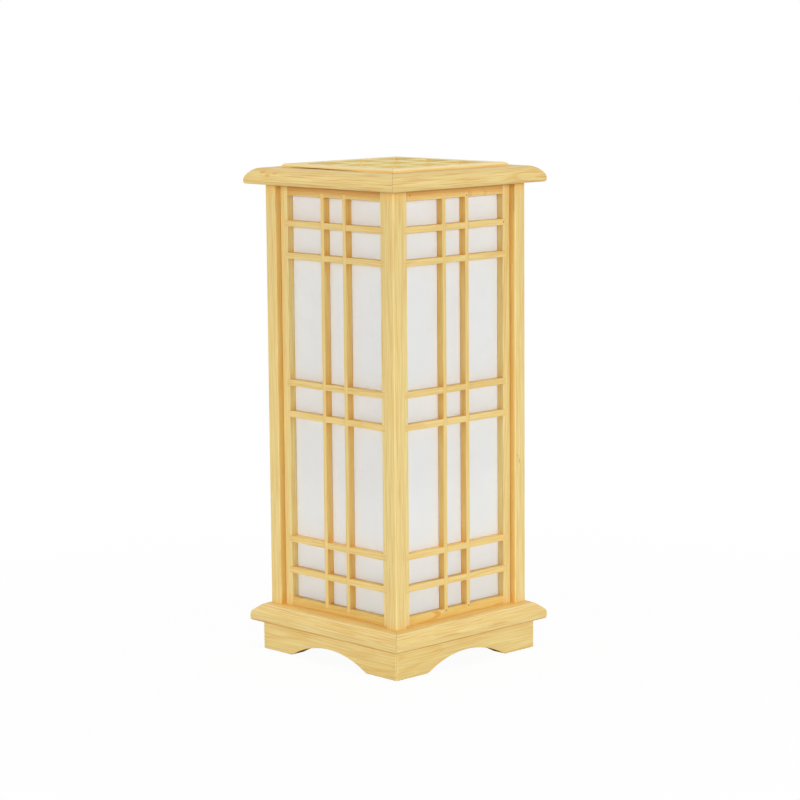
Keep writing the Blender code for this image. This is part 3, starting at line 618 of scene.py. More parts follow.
hole_profile = [
    (0, SCREW_HEAD_HEIGHT), (head_hole, SCREW_HEAD_HEIGHT), (head_hole, 0), (shank_hole, -SCREW_HEAD_HEIGHT),
    (shank_hole, -SCREW_HOLE_DEPTH), (0, -SCREW_HOLE_DEPTH)]
for x in (-HOLDER_SCREW_X, HOLDER_SCREW_X):
    hole = turned(hole_profile)
    bmesh.ops.translate(hole, verts=hole.verts, vec=(x, 0, FLANGE_TOP))
    body = carve(body, hole)
holder = piece_from(body, "holder_body", plastic)
dress(holder, "lamp_body", "holder_plastic", "lamp_holder")


# Screws: four countersunk wood screws of bright steel with cross recesses.
# Two go up through the batten into the base frame, and two go down through the holder's flange.

SCREWS = ("batten_screw_left", "batten_screw_right", "holder_screw_left", "holder_screw_right")
HEAD_CHAMFER = 0.0002
PLAIN_SHANK = 0.35
POINT_LENGTH = 0.003
POINT_PROFILE = ((0.75, 0.0017), (0.35, 0.0006))
WOOD_PITCH = 0.0012
WOOD_THREAD = 0.00035
CREST_HEIGHT = 0.0002
CREST_STEEPNESS = 3.2
RINGS_PER_TURN = 8
RECESS_SPAN = 0.0034
RECESS_WIDTH = 0.0007
RECESS_DEPTH = 0.0011
RECESS_TAPER = 0.55


def turn(bm, angle, axis):
    """Turn a bmesh about an axis through the origin."""
    bmesh.ops.rotate(bm, verts=bm.verts, cent=(0, 0, 0), matrix=Matrix.Rotation(angle, 3, axis))


def wood_thread(start, end):
    """A narrow ridge that winds up the shank between two heights."""
    def cut(angle, z):
        if not start < z < end:
            return 0.0
        share = (z / WOOD_PITCH - angle / (2 * math.pi)) % 1.0
        return WOOD_THREAD * min(1.0, CREST_STEEPNESS * min(share, 1 - share))
    return cut


def wood_screw(length):
    """A countersunk screw with its head's face at z 0 and its point up."""
    thread_start = length * PLAIN_SHANK
    point_start = length - POINT_LENGTH
    profile = [(0, 0), (SCREW_HEAD_RADIUS - HEAD_CHAMFER, 0), (SCREW_HEAD_RADIUS, HEAD_CHAMFER)]
    profile += [(SCREW_SHANK_RADIUS, SCREW_HEAD_HEIGHT), (SCREW_SHANK_RADIUS, thread_start)]
    crest = SCREW_SHANK_RADIUS + CREST_HEIGHT
    steps = int((point_start - thread_start) / WOOD_PITCH * RINGS_PER_TURN)
    for i in range(1, steps + 1):
        profile.append((crest, thread_start + (point_start - thread_start) * i / steps))
    profile += [(crest * share, length - from_end) for share, from_end in POINT_PROFILE] + [(0, length)]
    screw = turned(profile, thread=wood_thread(thread_start, point_start))
    for quarter_turn in (0, 1):
        spans = (RECESS_SPAN, RECESS_WIDTH, 2 * RECESS_DEPTH)
        across_head = Matrix.Rotation(quarter_turn * math.pi / 2, 4, "Z") @ Matrix.Diagonal((*spans, 1))
        arm = bmesh.new()
        bmesh.ops.create_cube(arm, size=1, matrix=across_head)
        for vertex in arm.verts:
            if vertex.co.z > 0:
                vertex.co.xy *= RECESS_TAPER
        screw = carve(screw, arm)
    return screw


steel = plain_finish(
    "screw_steel", (0.50, 0.50, 0.49), (0.60, 0.60, 0.58), cycles=500, smooth=0.24, rough=0.42,
    relief=0.00003, metal=1.0)
for node in SCREWS:
    low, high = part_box(node)
    middle = (low + high) / 2
    shaped = wood_screw(high.z - low.z)
    turn(shaped, chance.uniform(0, math.pi), "Z")
    head_z = low.z
    if node.startswith("holder"):
        turn(shaped, math.pi, "X")
        head_z = high.z
    bmesh.ops.translate(shaped, verts=shaped.verts, vec=(middle.x, middle.y, head_z))
    screw = piece_from(shaped, f"wood_{node}", steel)
    dress(screw, "lamp_body", "screw_steel", node)


# Screw shell and leaf contact: the live parts inside the holder, pressed and folded from brass strip.
# The shell has the rolled thread of the common 27 mm lamp cap.

shell_low, shell_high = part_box("holder_screw_shell")
ROLLED_PITCH = 0.00363
ROLLED_DEPTH = 0.0008
RING_STEP = 0.0003
SHELL_BORE = 0.0134
SHELL_WALL = 0.0004
SHELL_HOLE = 0.007
SHELL_LEAD_IN = (0.0015, 0.0030)
SHELL_RUN_OUT = (0.0043, 0.0023)
LEAF_EASE = 0.00012


def rolled_thread(foot, lead_in, top, run_out):
    """A round thread that fades in above a foot and out below a top."""
    starts = [foot + up for up in lead_in]
    ends = [top - down for down in run_out]

    def cut(angle, z):
        rise = min(max((z - starts[0]) / (starts[1] - starts[0]), 0), 1)
        fall = min(max((ends[1] - z) / (ends[1] - ends[0]), 0), 1)
        wave = 0.5 + 0.5 * math.cos(2 * math.pi * z / ROLLED_PITCH - angle)
        return ROLLED_DEPTH * min(rise, fall) * (1 - wave)
    return cut


def wall(radius, start, end):
    """Points up or down a straight wall, close enough together to carry a thread."""
    steps = math.ceil(abs(end - start) / RING_STEP)
    return [(radius, start + (end - start) * i / steps) for i in range(steps + 1)]


brass = plain_finish(
    "brass", (0.62, 0.42, 0.15), (0.76, 0.56, 0.24), cycles=220, smooth=0.22, rough=0.38, relief=0.00003,
    metal=1.0)
shell_floor = shell_low.z + SHELL_WALL
shell_thread = rolled_thread(shell_low.z, SHELL_LEAD_IN, shell_high.z, SHELL_RUN_OUT)
profile = [(SHELL_HOLE, shell_low.z)] + wall(SHELL_BORE + SHELL_WALL, shell_low.z, shell_high.z)
profile += wall(SHELL_BORE, shell_high.z, shell_floor) + [(SHELL_HOLE, shell_floor)]
shell = piece_from(turned(profile, closed=True, thread=shell_thread), "brass_shell", brass)
dress(shell, "lamp_body", "brass", "holder_screw_shell")

strip = sawn("holder_leaf_contact")
ease(strip, LEAF_EASE, lambda edge: True, segments=2)
leaf = piece_from(strip, "brass_leaf", brass)
dress(leaf, "lamp_body", "brass", "holder_leaf_contact")


# Posts: four square pine sticks with rounded corners, glued between the two frames.
# Rift-sawn, so the same fine straight grain shows on every face. The back right one has two small knots.

POST_KNOTS = (((0.0855, 0.0774, 0.1812), 0.0014, 2), ((0.0855, 0.0752, 0.1862), 0.0010, 2))
POST_KNOT_GREY = (0.57, 0.43, 0.14)
POST_CUT = ((0.06, 0.09), (0.06, 0.09), (0.98, 1.02))
post_pine = pine(
    "post_pine", (0.84, 0.658, 0.272), (0.765, 0.52, 0.158), ring=0.0017, wander=0.003, fleck=0.25,
    knots=POST_KNOTS, knot=POST_KNOT_GREY)
for corner in ("front_right", "back_right", "back_left", "front_left"):
    node = f"{corner}_post"
    stick = sawn(node)
    low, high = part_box(node)
    close_gap(stick, 2, low.z, -GAP_FILL)
    close_gap(stick, 2, high.z, GAP_FILL)
    post = piece_from(stick, f"post_{corner}", post_pine)
    lay_grain(post.data, 2, *one_of_each(POST_CUT))
    dress(post, "lamp_body", "pine_post", node)


# Panel frames: two stiles and two rails on each side, tenoned together and glued between the posts.
# Their front edges are notched for the ends of the lattice bars. The rails are flat-sawn near the heart,
# with bold rings, but straight-grained on the front. Painted deep shade darkens the top rails under the cap.

PANEL_EASE = 0.00035
STILE_CUT = ((0.05, 0.08), (-0.06, 0.06))
RAIL_CUT = ((0.010, 0.016), (-0.003, 0.003))
STRAIGHT_CUT = (0.004, -0.045)
STRAIGHT_TONE = 0.93
PANEL_TONE = (0.98, 1.02)
RAIL_FIGURE = {
    "ring": 0.0015, "wander": 0.014, "swing": 7, "early": 0.62, "figure": 1.7, "fleck": 0.2, "blush": 0.6,
    "corner_shade": 0.8, "reach": 0.011}
panel_pine = pine("panel_pine", (0.85, 0.71, 0.322), (0.77, 0.535, 0.172), ring=0.0018, fleck=0.2, corner_shade=0.4)
rail_pine = pine("rail_pine", (0.81, 0.60, 0.187), (0.68, 0.36, 0.06), **RAIL_FIGURE)
# The top rails get painted deep shade under the cap.
head_pine = pine("head_pine", (0.85, 0.655, 0.25), (0.69, 0.385, 0.075), ledge_shade=0.72, **RAIL_FIGURE)
PANEL_WOOD = {
    "stile_left": panel_pine, "stile_right": panel_pine, "bottom_rail": rail_pine, "top_rail": head_pine}


def steps_along(axis):
    """The places along an axis where the solid lattice has corners."""
    places = {round(vertex.co[axis], 5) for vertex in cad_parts["front_panel_lattice"].data.vertices}
    return sorted(places)


columns = steps_along(0)
rows = steps_along(2)
upright_spans = [tuple(columns[k:k + 2]) for k in (2, 4)]
crossbar_spans = [tuple(rows[k:k + 2]) for k in range(2, 14, 2)]
tenon_shoulder = columns[-2]


def tighten(stick, axis, spans, mirrored=False):
    """Close the solids' clearance at both sides of each notch along a stick."""
    for low, high in spans:
        if mirrored:
            low, high = -high, -low
        close_gap(stick, axis, low - FIT_GAP, GAP_FILL)
        close_gap(stick, axis, high + FIT_GAP, -GAP_FILL)


for quarter, side in enumerate(SIDES):
    along = quarter % 2
    for part, wood in PANEL_WOOD.items():
        node = f"{side}_panel_{part}"
        stick = sawn(node)
        low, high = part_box(node)
        upright = part.startswith("stile")
        if part != "top_rail":
            close_gap(stick, 2, low.z, -GAP_FILL)
        if part != "bottom_rail":
            close_gap(stick, 2, high.z, GAP_FILL)
        if upright:
            tighten(stick, 2, crossbar_spans)
        else:
            tighten(stick, along, upright_spans, mirrored=quarter > 1)
            close_gap(stick, along, tenon_shoulder, GAP_FILL)
            close_gap(stick, along, -tenon_shoulder, -GAP_FILL)
        ease(stick, PANEL_EASE, long_edge, segments=2)
        strip = piece_from(stick, f"panel_{side}_{part}", wood)
        cut = one_of_each(STILE_CUT)
        if not upright:
            cut = one_of_each(RAIL_CUT)
        tone = chance.uniform(*PANEL_TONE)
        if side == "front" and not upright:
            cut = STRAIGHT_CUT
            tone *= STRAIGHT_TONE
        lay_grain(strip.data, 2 if upright else along, *cut, tone)
        dress(strip, "lamp_body", "pine_panel", node)


# Lattice: two uprights and six crossbars of thin pine on each side, let half way into each other.
# The uprights run through in front. The front half of every bar reaches over the panel frame.

depths = steps_along(1)
FRONT_FACE = depths[0]
BACK_FACE = depths[-1]
MIDDLE = (FRONT_FACE + BACK_FACE) / 2
BAR_EASE = 0.0003
LONG_BAR_EDGE = 0.002
BAR_TONE = (0.98, 1.02)
BAR_CUT = ((0.05, 0.09), (-0.08, 0.08))


def bar_outline(ends, shoulders, notches, notched):
    """Length and depth outline of a bar, half notched in one face and lapped at the front of each end."""
    cuts = []
    for low, high in notches:
        cuts += [(low - GLUE_LINE, notched), (low - GLUE_LINE, MIDDLE)]
        cuts += [(high + GLUE_LINE, MIDDLE), (high + GLUE_LINE, notched)]
    ends = (ends[0] - GAP_FILL, ends[1] + GAP_FILL)
    front = [(ends[0], FRONT_FACE), (ends[1], FRONT_FACE)]
    right = [(ends[1], MIDDLE), (shoulders[1], MIDDLE), (shoulders[1], BACK_FACE)]
    left = [(shoulders[0], BACK_FACE), (shoulders[0], MIDDLE), (ends[0], MIDDLE)]
    if notched == FRONT_FACE:
        return front[:1] + cuts + front[1:] + right + left
    return front + right + cuts[::-1] + left


def bar(outline, axis, start, end):
    """A bar with eased long edges, from its outline and its width. Axis 0 runs along X and 2 along Z."""
    bm = bmesh.new()
    rims = []
    for width in (start, end):
        if axis == 0:
            rims.append([bm.verts.new((along, depth, width)) for along, depth in outline])
        else:
            rims.append([bm.verts.new((width, depth, along)) for along, depth in outline])
    for rim in rims:
        bm.faces.new(rim)
    for i in range(len(outline)):
        bm.faces.new((rims[0][i - 1], rims[0][i], rims[1][i], rims[1][i - 1]))
    bmesh.ops.recalc_face_normals(bm, faces=bm.faces)

    def lengthwise(edge):
        a, b = (vertex.co for vertex in edge.verts)
        faces = (FRONT_FACE, BACK_FACE)
        flush = any(abs(a.y - face) < SAME_POINT and abs(b.y - face) < SAME_POINT for face in faces)
        return flush and abs(a[axis] - b[axis]) > LONG_BAR_EDGE

    ease(bm, BAR_EASE, lengthwise, segments=2)
    return bm


def loose_mesh(bm):
    """A mesh from a bmesh that is done with."""
    mesh = bpy.data.meshes.new("loose")
    bm.to_mesh(mesh)
    bm.free()
    return mesh


def add_to(whole, mesh):
    """Put a loose mesh into a bmesh."""
    whole.from_mesh(mesh)
    bpy.data.meshes.remove(mesh)


def add_bar(whole, outline, axis, span):
    """Put one bar, with its own grain, into the panel's lattice."""
    loose = loose_mesh(bar(outline, axis, *span))
    tone = chance.uniform(*BAR_TONE)
    lay_grain(loose, axis, *one_of_each(BAR_CUT), tone)
    add_to(whole, loose)


lattice_pine = pine(
    "lattice_pine", (0.838, 0.64, 0.25), (0.755, 0.50, 0.145), ring=0.0020, wander=0.004, fleck=0.15)
crossbar_outline = bar_outline(
    (columns[0], columns[-1]), (columns[1], columns[-2]), upright_spans, FRONT_FACE)
upright_outline = bar_outline((rows[0], rows[-1]), (rows[1], rows[-2]), crossbar_spans, BACK_FACE)
for quarter, side in enumerate(SIDES):
    whole = bmesh.new()
    for span in crossbar_spans:
        add_bar(whole, crossbar_outline, 0, span)
    for span in upright_spans:
        add_bar(whole, upright_outline, 2, span)
    turn(whole, quarter * math.pi / 2, "Z")
    lattice = piece_from(whole, f"lattice_{side}", lattice_pine)
    dress(lattice, "lamp_body", "pine_lattice", f"{side}_panel_lattice")


# Pins: thin steel brads that hold the ends of the bars and a rail, driven from the front.
# Only their small dark heads show, and on the front panel they are stopped and coloured over.

PIN_RADIUS = 0.00075
PIN_SHANK = PIN_RADIUS * 0.6
PIN_LENGTH = 0.004
PIN_PROUD = 0.00012
RAIL_PIN_IN = 0.004
RAIL_PIN_UP = 0.002
pin_steel = plain_finish(
    "pin_steel", (0.20, 0.12, 0.05), (0.32, 0.20, 0.09), cycles=900, smooth=0.4, rough=0.6, relief=0.00003,
    metal=0.5)
lap = (columns[1] - columns[0]) / 2
upright_middles = [sum(span) / 2 for span in upright_spans]
pin_places = [(x, rows[0] + lap) for x in upright_middles]
pin_places += [(upright_middles[1], rows[-1] - lap)]
pin_places += [(columns[-1] - lap, sum(crossbar_spans[-1]) / 2)]
pin_places += [(columns[1] + RAIL_PIN_IN, rows[-1] + RAIL_PIN_UP)]
pin_profile = [
    (0, PIN_PROUD), (PIN_SHANK, PIN_PROUD), (PIN_RADIUS, 0), (PIN_SHANK, -PIN_RADIUS),
    (PIN_SHANK, -PIN_LENGTH), (0, -PIN_LENGTH - PIN_RADIUS)]
for quarter, side in enumerate(SIDES):
    if side == "front":
        continue
    pins = bmesh.new()
    for x, z in pin_places:
        pin = turned(pin_profile)
        turn(pin, math.pi / 2, "X")
        bmesh.ops.translate(pin, verts=pin.verts, vec=(x, FRONT_FACE, z))
        add_to(pins, loose_mesh(pin))
    turn(pins, quarter * math.pi / 2, "Z")
    brads = piece_from(pins, f"pins_{side}", pin_steel)
    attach(brads, "lamp_body")


# Paper: one white sheet behind each lattice, pasted to the backs of the stiles and rails.
# Handmade paper with long pale fibres and a soft cloudiness, lightly slack between the bars, and painted
# greyer as shade towards its foot.

paper_low, paper_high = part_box("front_panel_paper")
PAPER_THICKNESS = 0.00025
PAPER_GRID = (28, 80)
SLACK = 0.00022
TIGHT_EDGE = 0.02
SLACK_CYCLES = (22, 16)
SLACK_SHIFT = (7, 3)
PAPER_SHADE = (0.882, 0.900, 0.892, 1)
PAPER_WHITE = (0.906, 0.926, 0.920, 1)
FIBRE_CREAM = (0.86, 0.85, 0.81, 1)
FIBRE_SHARE = 0.5
PAINTED_FOOT_GREY = (0.80, 0.815, 0.81, 1)
PAINTED_FOOT_SHARE = 0.8
PAINTED_FOOT_HEIGHT = 0.07
CLOUD_CYCLES = (22, 22, 22)
THREAD_CYCLES = (70, 70, 45)
THREAD_WIDTH = 0.012
BREAK_CYCLES = (35, 35, 35)
BREAK_NOISE = (0.45, 0.6)
PAPER_POLISH = (0.85, 0.72)
PAPER_RELIEF = (0.25, 0.0002)


def paper_finish():
    """White handmade paper that lets a little light spread inside it."""
    material, tree, shader = new_finish("shade_paper")
    place = node_in(tree, "ShaderNodeTexCoord").outputs["Object"]
    cloud = noise_in(tree, place, CLOUD_CYCLES, detail=4.0)
    thread = noise_in(tree, place, THREAD_CYCLES, detail=3.0)
    off_thread = math_in(tree, "ABSOLUTE", math_in(tree, "SUBTRACT", thread, 0.5))
    broken = share_in(tree, noise_in(tree, place, BREAK_CYCLES, detail=1.0), *BREAK_NOISE)
    fibres = math_in(tree, "MULTIPLY", share_in(tree, off_thread, 0.0, THREAD_WIDTH, 1.0, 0.0), broken)
    colour = colour_mix_in(tree, share_in(tree, cloud, *MIDDLE_NOISE), PAPER_SHADE, PAPER_WHITE)
    colour = colour_mix_in(tree, math_in(tree, "MULTIPLY", fibres, FIBRE_SHARE), colour, FIBRE_CREAM)
    # Painted shade: the paper is made greyer towards its foot.
    painted_foot_top = paper_low.z + PAINTED_FOOT_HEIGHT
    painted_foot = share_in(tree, axis_in(tree, place, 2), paper_low.z, painted_foot_top, PAINTED_FOOT_SHARE, 0.0)
    colour = colour_mix_in(tree, painted_foot, colour, PAINTED_FOOT_GREY)
    tree.links.new(colour, shader.inputs["Base Color"])
    polish = share_in(tree, cloud, *MIDDLE_NOISE, *PAPER_POLISH)
    tree.links.new(polish, shader.inputs["Roughness"])
    emboss(tree, shader, math_in(tree, "MULTIPLY_ADD", fibres, FIBRE_SHARE, cloud), *PAPER_RELIEF)
    shader.inputs["Specular IOR Level"].default_value = 0.25
    shader.inputs["Subsurface Weight"].default_value = 1.0
    shader.inputs["Subsurface Radius"].default_value = (1.0, 1.0, 1.0)
    shader.inputs["Subsurface Scale"].default_value = 0.0005
    return material


paper = paper_finish()
for quarter, side in enumerate(SIDES):
    sheet = bmesh.new()
    bmesh.ops.create_grid(sheet, x_segments=PAPER_GRID[0], y_segments=PAPER_GRID[1], size=0.5)
    for vertex in sheet.verts:
        x = paper_low.x + (vertex.co.x + 0.5) * (paper_high.x - paper_low.x)
        z = paper_low.z + (vertex.co.y + 0.5) * (paper_high.z - paper_low.z)
        from_edge = min(x - paper_low.x, paper_high.x - x, z - paper_low.z, paper_high.z - z)
        spot = (
            x * SLACK_CYCLES[0] + SLACK_SHIFT[0] * quarter, SLACK_SHIFT[1] * quarter, z * SLACK_CYCLES[1])
        slack = SLACK * min(from_edge / TIGHT_EDGE, 1) * (noise.noise(spot) + 1) / 2
        vertex.co = (x, paper_low.y + slack, z)
    solid = bmesh.ops.extrude_face_region(sheet, geom=sheet.faces[:])
    lifted = [item for item in solid["geom"] if isinstance(item, bmesh.types.BMVert)]
    bmesh.ops.translate(sheet, verts=lifted, vec=(0, PAPER_THICKNESS, 0))
    turn(sheet, quarter * math.pi / 2, "Z")
    shade = piece_from(sheet, f"paper_{side}", paper)
    dress(shade, "lamp_body", "paper", f"{side}_panel_paper")


# Cap frame: the same kind of mitred moulding as the base, thinner and with a rounder edge that has a pale
# painted highlight where it meets the flat top. It is glued on the posts and its square opening takes the
# lid.
# The front length has three pin knots near its left end.

PIN_KNOTS = (
    ((-0.0770, -0.0956, 0.4549), 0.0021, 0), ((-0.0680, -0.0979, 0.4523), 0.0020, 0),
    ((-0.0597, -0.0961, 0.4544), 0.0017, 0))
TOP_LINE_WIDTH = 0.002
AT_TOP = 1e-5
INNER_EDGE = 1e-3


def top_line(length, along):
    """The line where the shaped edge of a moulding meets its flat top."""
    top = max(vertex.co.z for vertex in length.verts)
    outer = outer_face(length, along)
    inner = min(abs(vertex.co[1 - along]) for vertex in length.verts)
    line = []
    for edge in length.edges:
        level = all(vertex.co.z > top - AT_TOP for vertex in edge.verts)
        between = all(inner + INNER_EDGE < abs(vertex.co[1 - along]) < outer for vertex in edge.verts)
        if level and between and off_mitre(edge):
            line.append(edge)
    return line


# The cap frame gets painted amber shade in its corners and on its level top.
cap_pine = pine(
    "cap_pine", (0.797, 0.617, 0.249), (0.73, 0.486, 0.142), ring=0.0018, figure=0.7, fleck=0.7, corner_shade=0.7,
    level_shade=0.3, knots=PIN_KNOTS)
for quarter, side in enumerate(SIDES):
    node = f"{side}_cap_moulding"
    piece = moulded(node, f"cap_frame_{side}", quarter % 2, cap_pine, top_line, TOP_LINE_WIDTH)
    dress(piece, "lamp_body", "pine_moulding", node)


# Bulb: opal glass blown as a pear and cemented into a screw cap of nickel-plated brass.
# Black glass under the cap keeps it apart from the soldered tip.

tip_low, tip_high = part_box("bulb_tip_contact")
cap_low, cap_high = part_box("bulb_screw_cap")
glass_low, glass_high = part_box("bulb_glass")
TIP_RADIUS = tip_high.x
TIP_ROUND = 0.0016
CAP_RADIUS = cap_high.x
CAP_WALL = 0.0003
CAP_RIM = 0.0004
CAP_RIM_IN = 0.0001
CAP_FOOT = cap_low.z + 0.0048
CAP_LEAD_IN = (0, 0.0001)
CAP_RUN_OUT = (0.0095, 0.0080)
CONE_FOOT = (0.0012, 0.0006)
CONE_TOP = 0.0119
CONE_SHOULDER = (0.0014, 0.0012)
CONE_RISE = 0.001
GLASS_RADIUS = glass_high.x
GLASS_NECK_RADIUS = 0.0123
GLASS_FLARE_RADIUS = 0.045
GLASS_FLARE_Z = cap_high.z + 0.002
GLASS_WALL = 0.001

solder = plain_finish(
    "solder", (0.50, 0.42, 0.28), (0.62, 0.53, 0.36), cycles=700, smooth=0.3, rough=0.5, relief=0.00006,
    metal=1.0)
profile = [(0, tip_low.z)] + arc((TIP_RADIUS - TIP_ROUND, tip_low.z + TIP_ROUND), TIP_ROUND, -90, 0, steps=6)
profile += [(TIP_RADIUS, tip_high.z), (0, tip_high.z)]
tip = piece_from(turned(profile), "solder_tip", solder)
dress(tip, "bulb_thread", "brass", "bulb_tip_contact")

nickel = plain_finish(
    "nickel_plate", (0.58, 0.57, 0.54), (0.68, 0.67, 0.64), cycles=180, smooth=0.2, rough=0.34,
    relief=0.00003, metal=1.0)
cap_inside = CAP_RADIUS - CAP_WALL
rim_foot = cap_high.z - CAP_RIM
cap_thread = rolled_thread(cap_low.z, CAP_LEAD_IN, cap_high.z, CAP_RUN_OUT)
profile = wall(CAP_RADIUS, CAP_FOOT, rim_foot) + [(CAP_RADIUS - CAP_RIM_IN, cap_high.z)]
profile += [(cap_inside, cap_high.z)] + wall(cap_inside, rim_foot, CAP_FOOT)
screw_cap = piece_from(turned(profile, closed=True, thread=cap_thread), "nickel_cap", nickel)
dress(screw_cap, "bulb", "bulb_cap_metal", "bulb_screw_cap")

black_glass = plain_finish(
    "black_glass", (0.012, 0.011, 0.014), (0.022, 0.02, 0.026), cycles=200, smooth=0.1, rough=0.2,
    relief=0.00004)
profile = [(0, cap_low.z), (TIP_RADIUS, cap_low.z), (TIP_RADIUS + CONE_FOOT[0], cap_low.z + CONE_FOOT[1])]
profile += [(CONE_TOP - CONE_SHOULDER[0], CAP_FOOT - CONE_SHOULDER[1]), (CONE_TOP, CAP_FOOT)]
profile += [(CONE_TOP, CAP_FOOT + CONE_RISE), (0, CAP_FOOT + CONE_RISE)]
cone = piece_from(turned(profile), "black_cone", black_glass, crease=60)
dress(cone, "bulb", "bulb_cap_metal", "bulb_screw_cap")

across = GLASS_NECK_RADIUS + GLASS_FLARE_RADIUS
between = GLASS_RADIUS + GLASS_FLARE_RADIUS
GLOBE_Z = GLASS_FLARE_Z + math.sqrt(between ** 2 - across ** 2)
lean = math.degrees(math.acos(across / between))


def glass_face(inset):
    """One face of the glass from the rim in the cap to the crown, a flare tangent to neck and globe."""
    rim = [(GLASS_NECK_RADIUS - inset, glass_low.z)]
    flare = arc((across, GLASS_FLARE_Z), GLASS_FLARE_RADIUS + inset, 180, 180 - lean, steps=14)
    globe = arc((0, GLOBE_Z), GLASS_RADIUS - inset, -lean, 90, steps=30)
    crown = [(0, GLOBE_Z + GLASS_RADIUS - inset)]
    return rim + flare + globe[1:-1] + crown


opal = plain_finish(
    "opal_glass", (0.83, 0.83, 0.81), (0.87, 0.87, 0.85), cycles=35, smooth=0.14, rough=0.22, relief=0.00004,
    coat=0.5, coat_rough=0.06)
glass = piece_from(turned(glass_face(GLASS_WALL)[::-1] + glass_face(0)), "opal_bulb", opal)
dress(glass, "bulb", "bulb_glass", "bulb_glass")


# Lid: a small mitred frame with a rounded lip that lies on the cap, and four bars across it painted paler as
# a sheen, let half way into each other. Its top and round upper edges have a pale painted highlight, and its
# front lip is a little bowed.
# The whole lid lifts out to change the bulb.

CAP_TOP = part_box("front_cap_moulding")[1].z
LID_SEAT = CAP_TOP + 0.00002
LIP_UNDERSIDE = (CAP_TOP + 0.0001, CAP_TOP + 0.0010)
LIP_EDGE = 0.0008
BOW_SPAN = (-0.066, 0.045)
BOW_RISE = 0.0009
BOW_SKEW = 0.6
BOW_STEPS = 12
RUBBED_SLOPE = 0.4
LEVEL_SLOPE = 0.92
TOP_HIGHLIGHT = 0.5
EDGE_HIGHLIGHT = 1.1
RIM_EASE = 0.0003
SLAT_EASE = 0.0006
RIM_CUT = ((0.05, 0.08), (0.02, 0.05), (0.97, 1.02))
SLAT_CUT = ((0.05, 0.08), (-0.05, 0.05), (0.97, 1.02))
LID_FIGURE = {"ring": 0.0018, "fleck": 0.15, "rough": 0.58}


def seat_lip(lip, along, bowed):
    """Let the lip lie on the cap. A bowed one lifts off it between two places and shows a dark gap."""
    outer = outer_face(lip, along)
    span = BOW_SPAN[1] - BOW_SPAN[0]
    if bowed:
        lengthwise = Vector((1 - along, along, 0))
        for i in range(BOW_STEPS + 1):
            spot = lengthwise * (BOW_SPAN[0] + span * i / BOW_STEPS)
            whole = lip.verts[:] + lip.edges[:] + lip.faces[:]
            bmesh.ops.bisect_plane(lip, geom=whole, plane_co=spot, plane_no=lengthwise)
    for vertex in lip.verts:
        at_edge = abs(vertex.co[1 - along]) > outer - LIP_EDGE
        if at_edge and LIP_UNDERSIDE[0] < vertex.co.z < LIP_UNDERSIDE[1]:
            share = min(max((vertex.co[along] - BOW_SPAN[0]) / span, 0), 1)
            lift = BOW_RISE * math.sin(math.pi * share ** BOW_SKEW) if bowed else 0
            vertex.co.z = LID_SEAT + lift


def paint_highlight(stick):
    """Mark the top of a stick for a light pale painted highlight, and its round upper edges for a stronger
    one.
    """
    painted_highlight = stick.faces.layers.float["painted_highlight"]
    for face in stick.faces:
        face.normal_update()
        if face.normal.z > RUBBED_SLOPE:
            face[painted_highlight] = TOP_HIGHLIGHT if face.normal.z > LEVEL_SLOPE else EDGE_HIGHLIGHT


lid_pine = pine("lid_pine", (0.865, 0.70, 0.305), (0.79, 0.56, 0.18), corner_shade=0.45, **LID_FIGURE)
# The bars are painted paler than the frame, as a painted sheen.
slat_pine_painted_sheen = pine("slat_pine_painted_sheen", (0.925, 0.76, 0.31), (0.86, 0.63, 0.19), corner_shade=0.25, **LID_FIGURE)
slat_boxes = [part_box(f"lid_bar_{side}") for side in ("left", "right")]
slat_spans = [(slat_low.x, slat_high.x) for slat_low, slat_high in slat_boxes]
for quarter, side in enumerate(SIDES):
    along = quarter % 2
    lip = sawn(f"lid_frame_{side}")
    lip.faces.layers.float.new("painted_highlight")
    close_mitres(lip, along)
    seat_lip(lip, along, bowed=side == "front")
    ease(lip, RIM_EASE, off_mitre, segments=2)
    paint_highlight(lip)
    rim = piece_from(lip, f"lid_rim_{side}", lid_pine)
    lay_grain(rim.data, along, *one_of_each(RIM_CUT))
    dress(rim, "lid", "pine_lid", f"lid_frame_{side}")

    cross = sawn(f"lid_bar_{side}")
    cross.faces.layers.float.new("painted_highlight")
    slat_low, slat_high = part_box(f"lid_bar_{side}")
    close_gap(cross, along, slat_low[along], -GAP_FILL)
    close_gap(cross, along, slat_high[along], GAP_FILL)
    tighten(cross, along, slat_spans)
    ease(cross, SLAT_EASE, long_edge, segments=2)
    paint_highlight(cross)
    slat = piece_from(cross, f"lid_slat_{side}", slat_pine_painted_sheen)
    lay_grain(slat.data, along, *one_of_each(SLAT_CUT))
    dress(slat, "lid", "pine_lid", f"lid_bar_{side}")


# Floor: a white studio sweep that reads as pure white away from the lamp and bounces light up to it.
# It is only a stage for the picture.

FLOOR_RADIUS = 60
FLOOR_GREY = (0.85, 0.85, 0.85, 1)
WHITE = (1, 1, 1, 1)
NEAR_FLOOR = (0.2, 0.8)
NEAR_GLOW = 0.96


def seen_in(tree):
    """One where the picture sees a thing itself, and zero where the thing only lights others."""
    rays = node_in(tree, "ShaderNodeLightPath").outputs
    seen = math_in(tree, "MAXIMUM", rays["Is Camera Ray"], rays["Is Glossy Ray"])
    return math_in(tree, "MAXIMUM", seen, rays["Is Transmission Ray"])


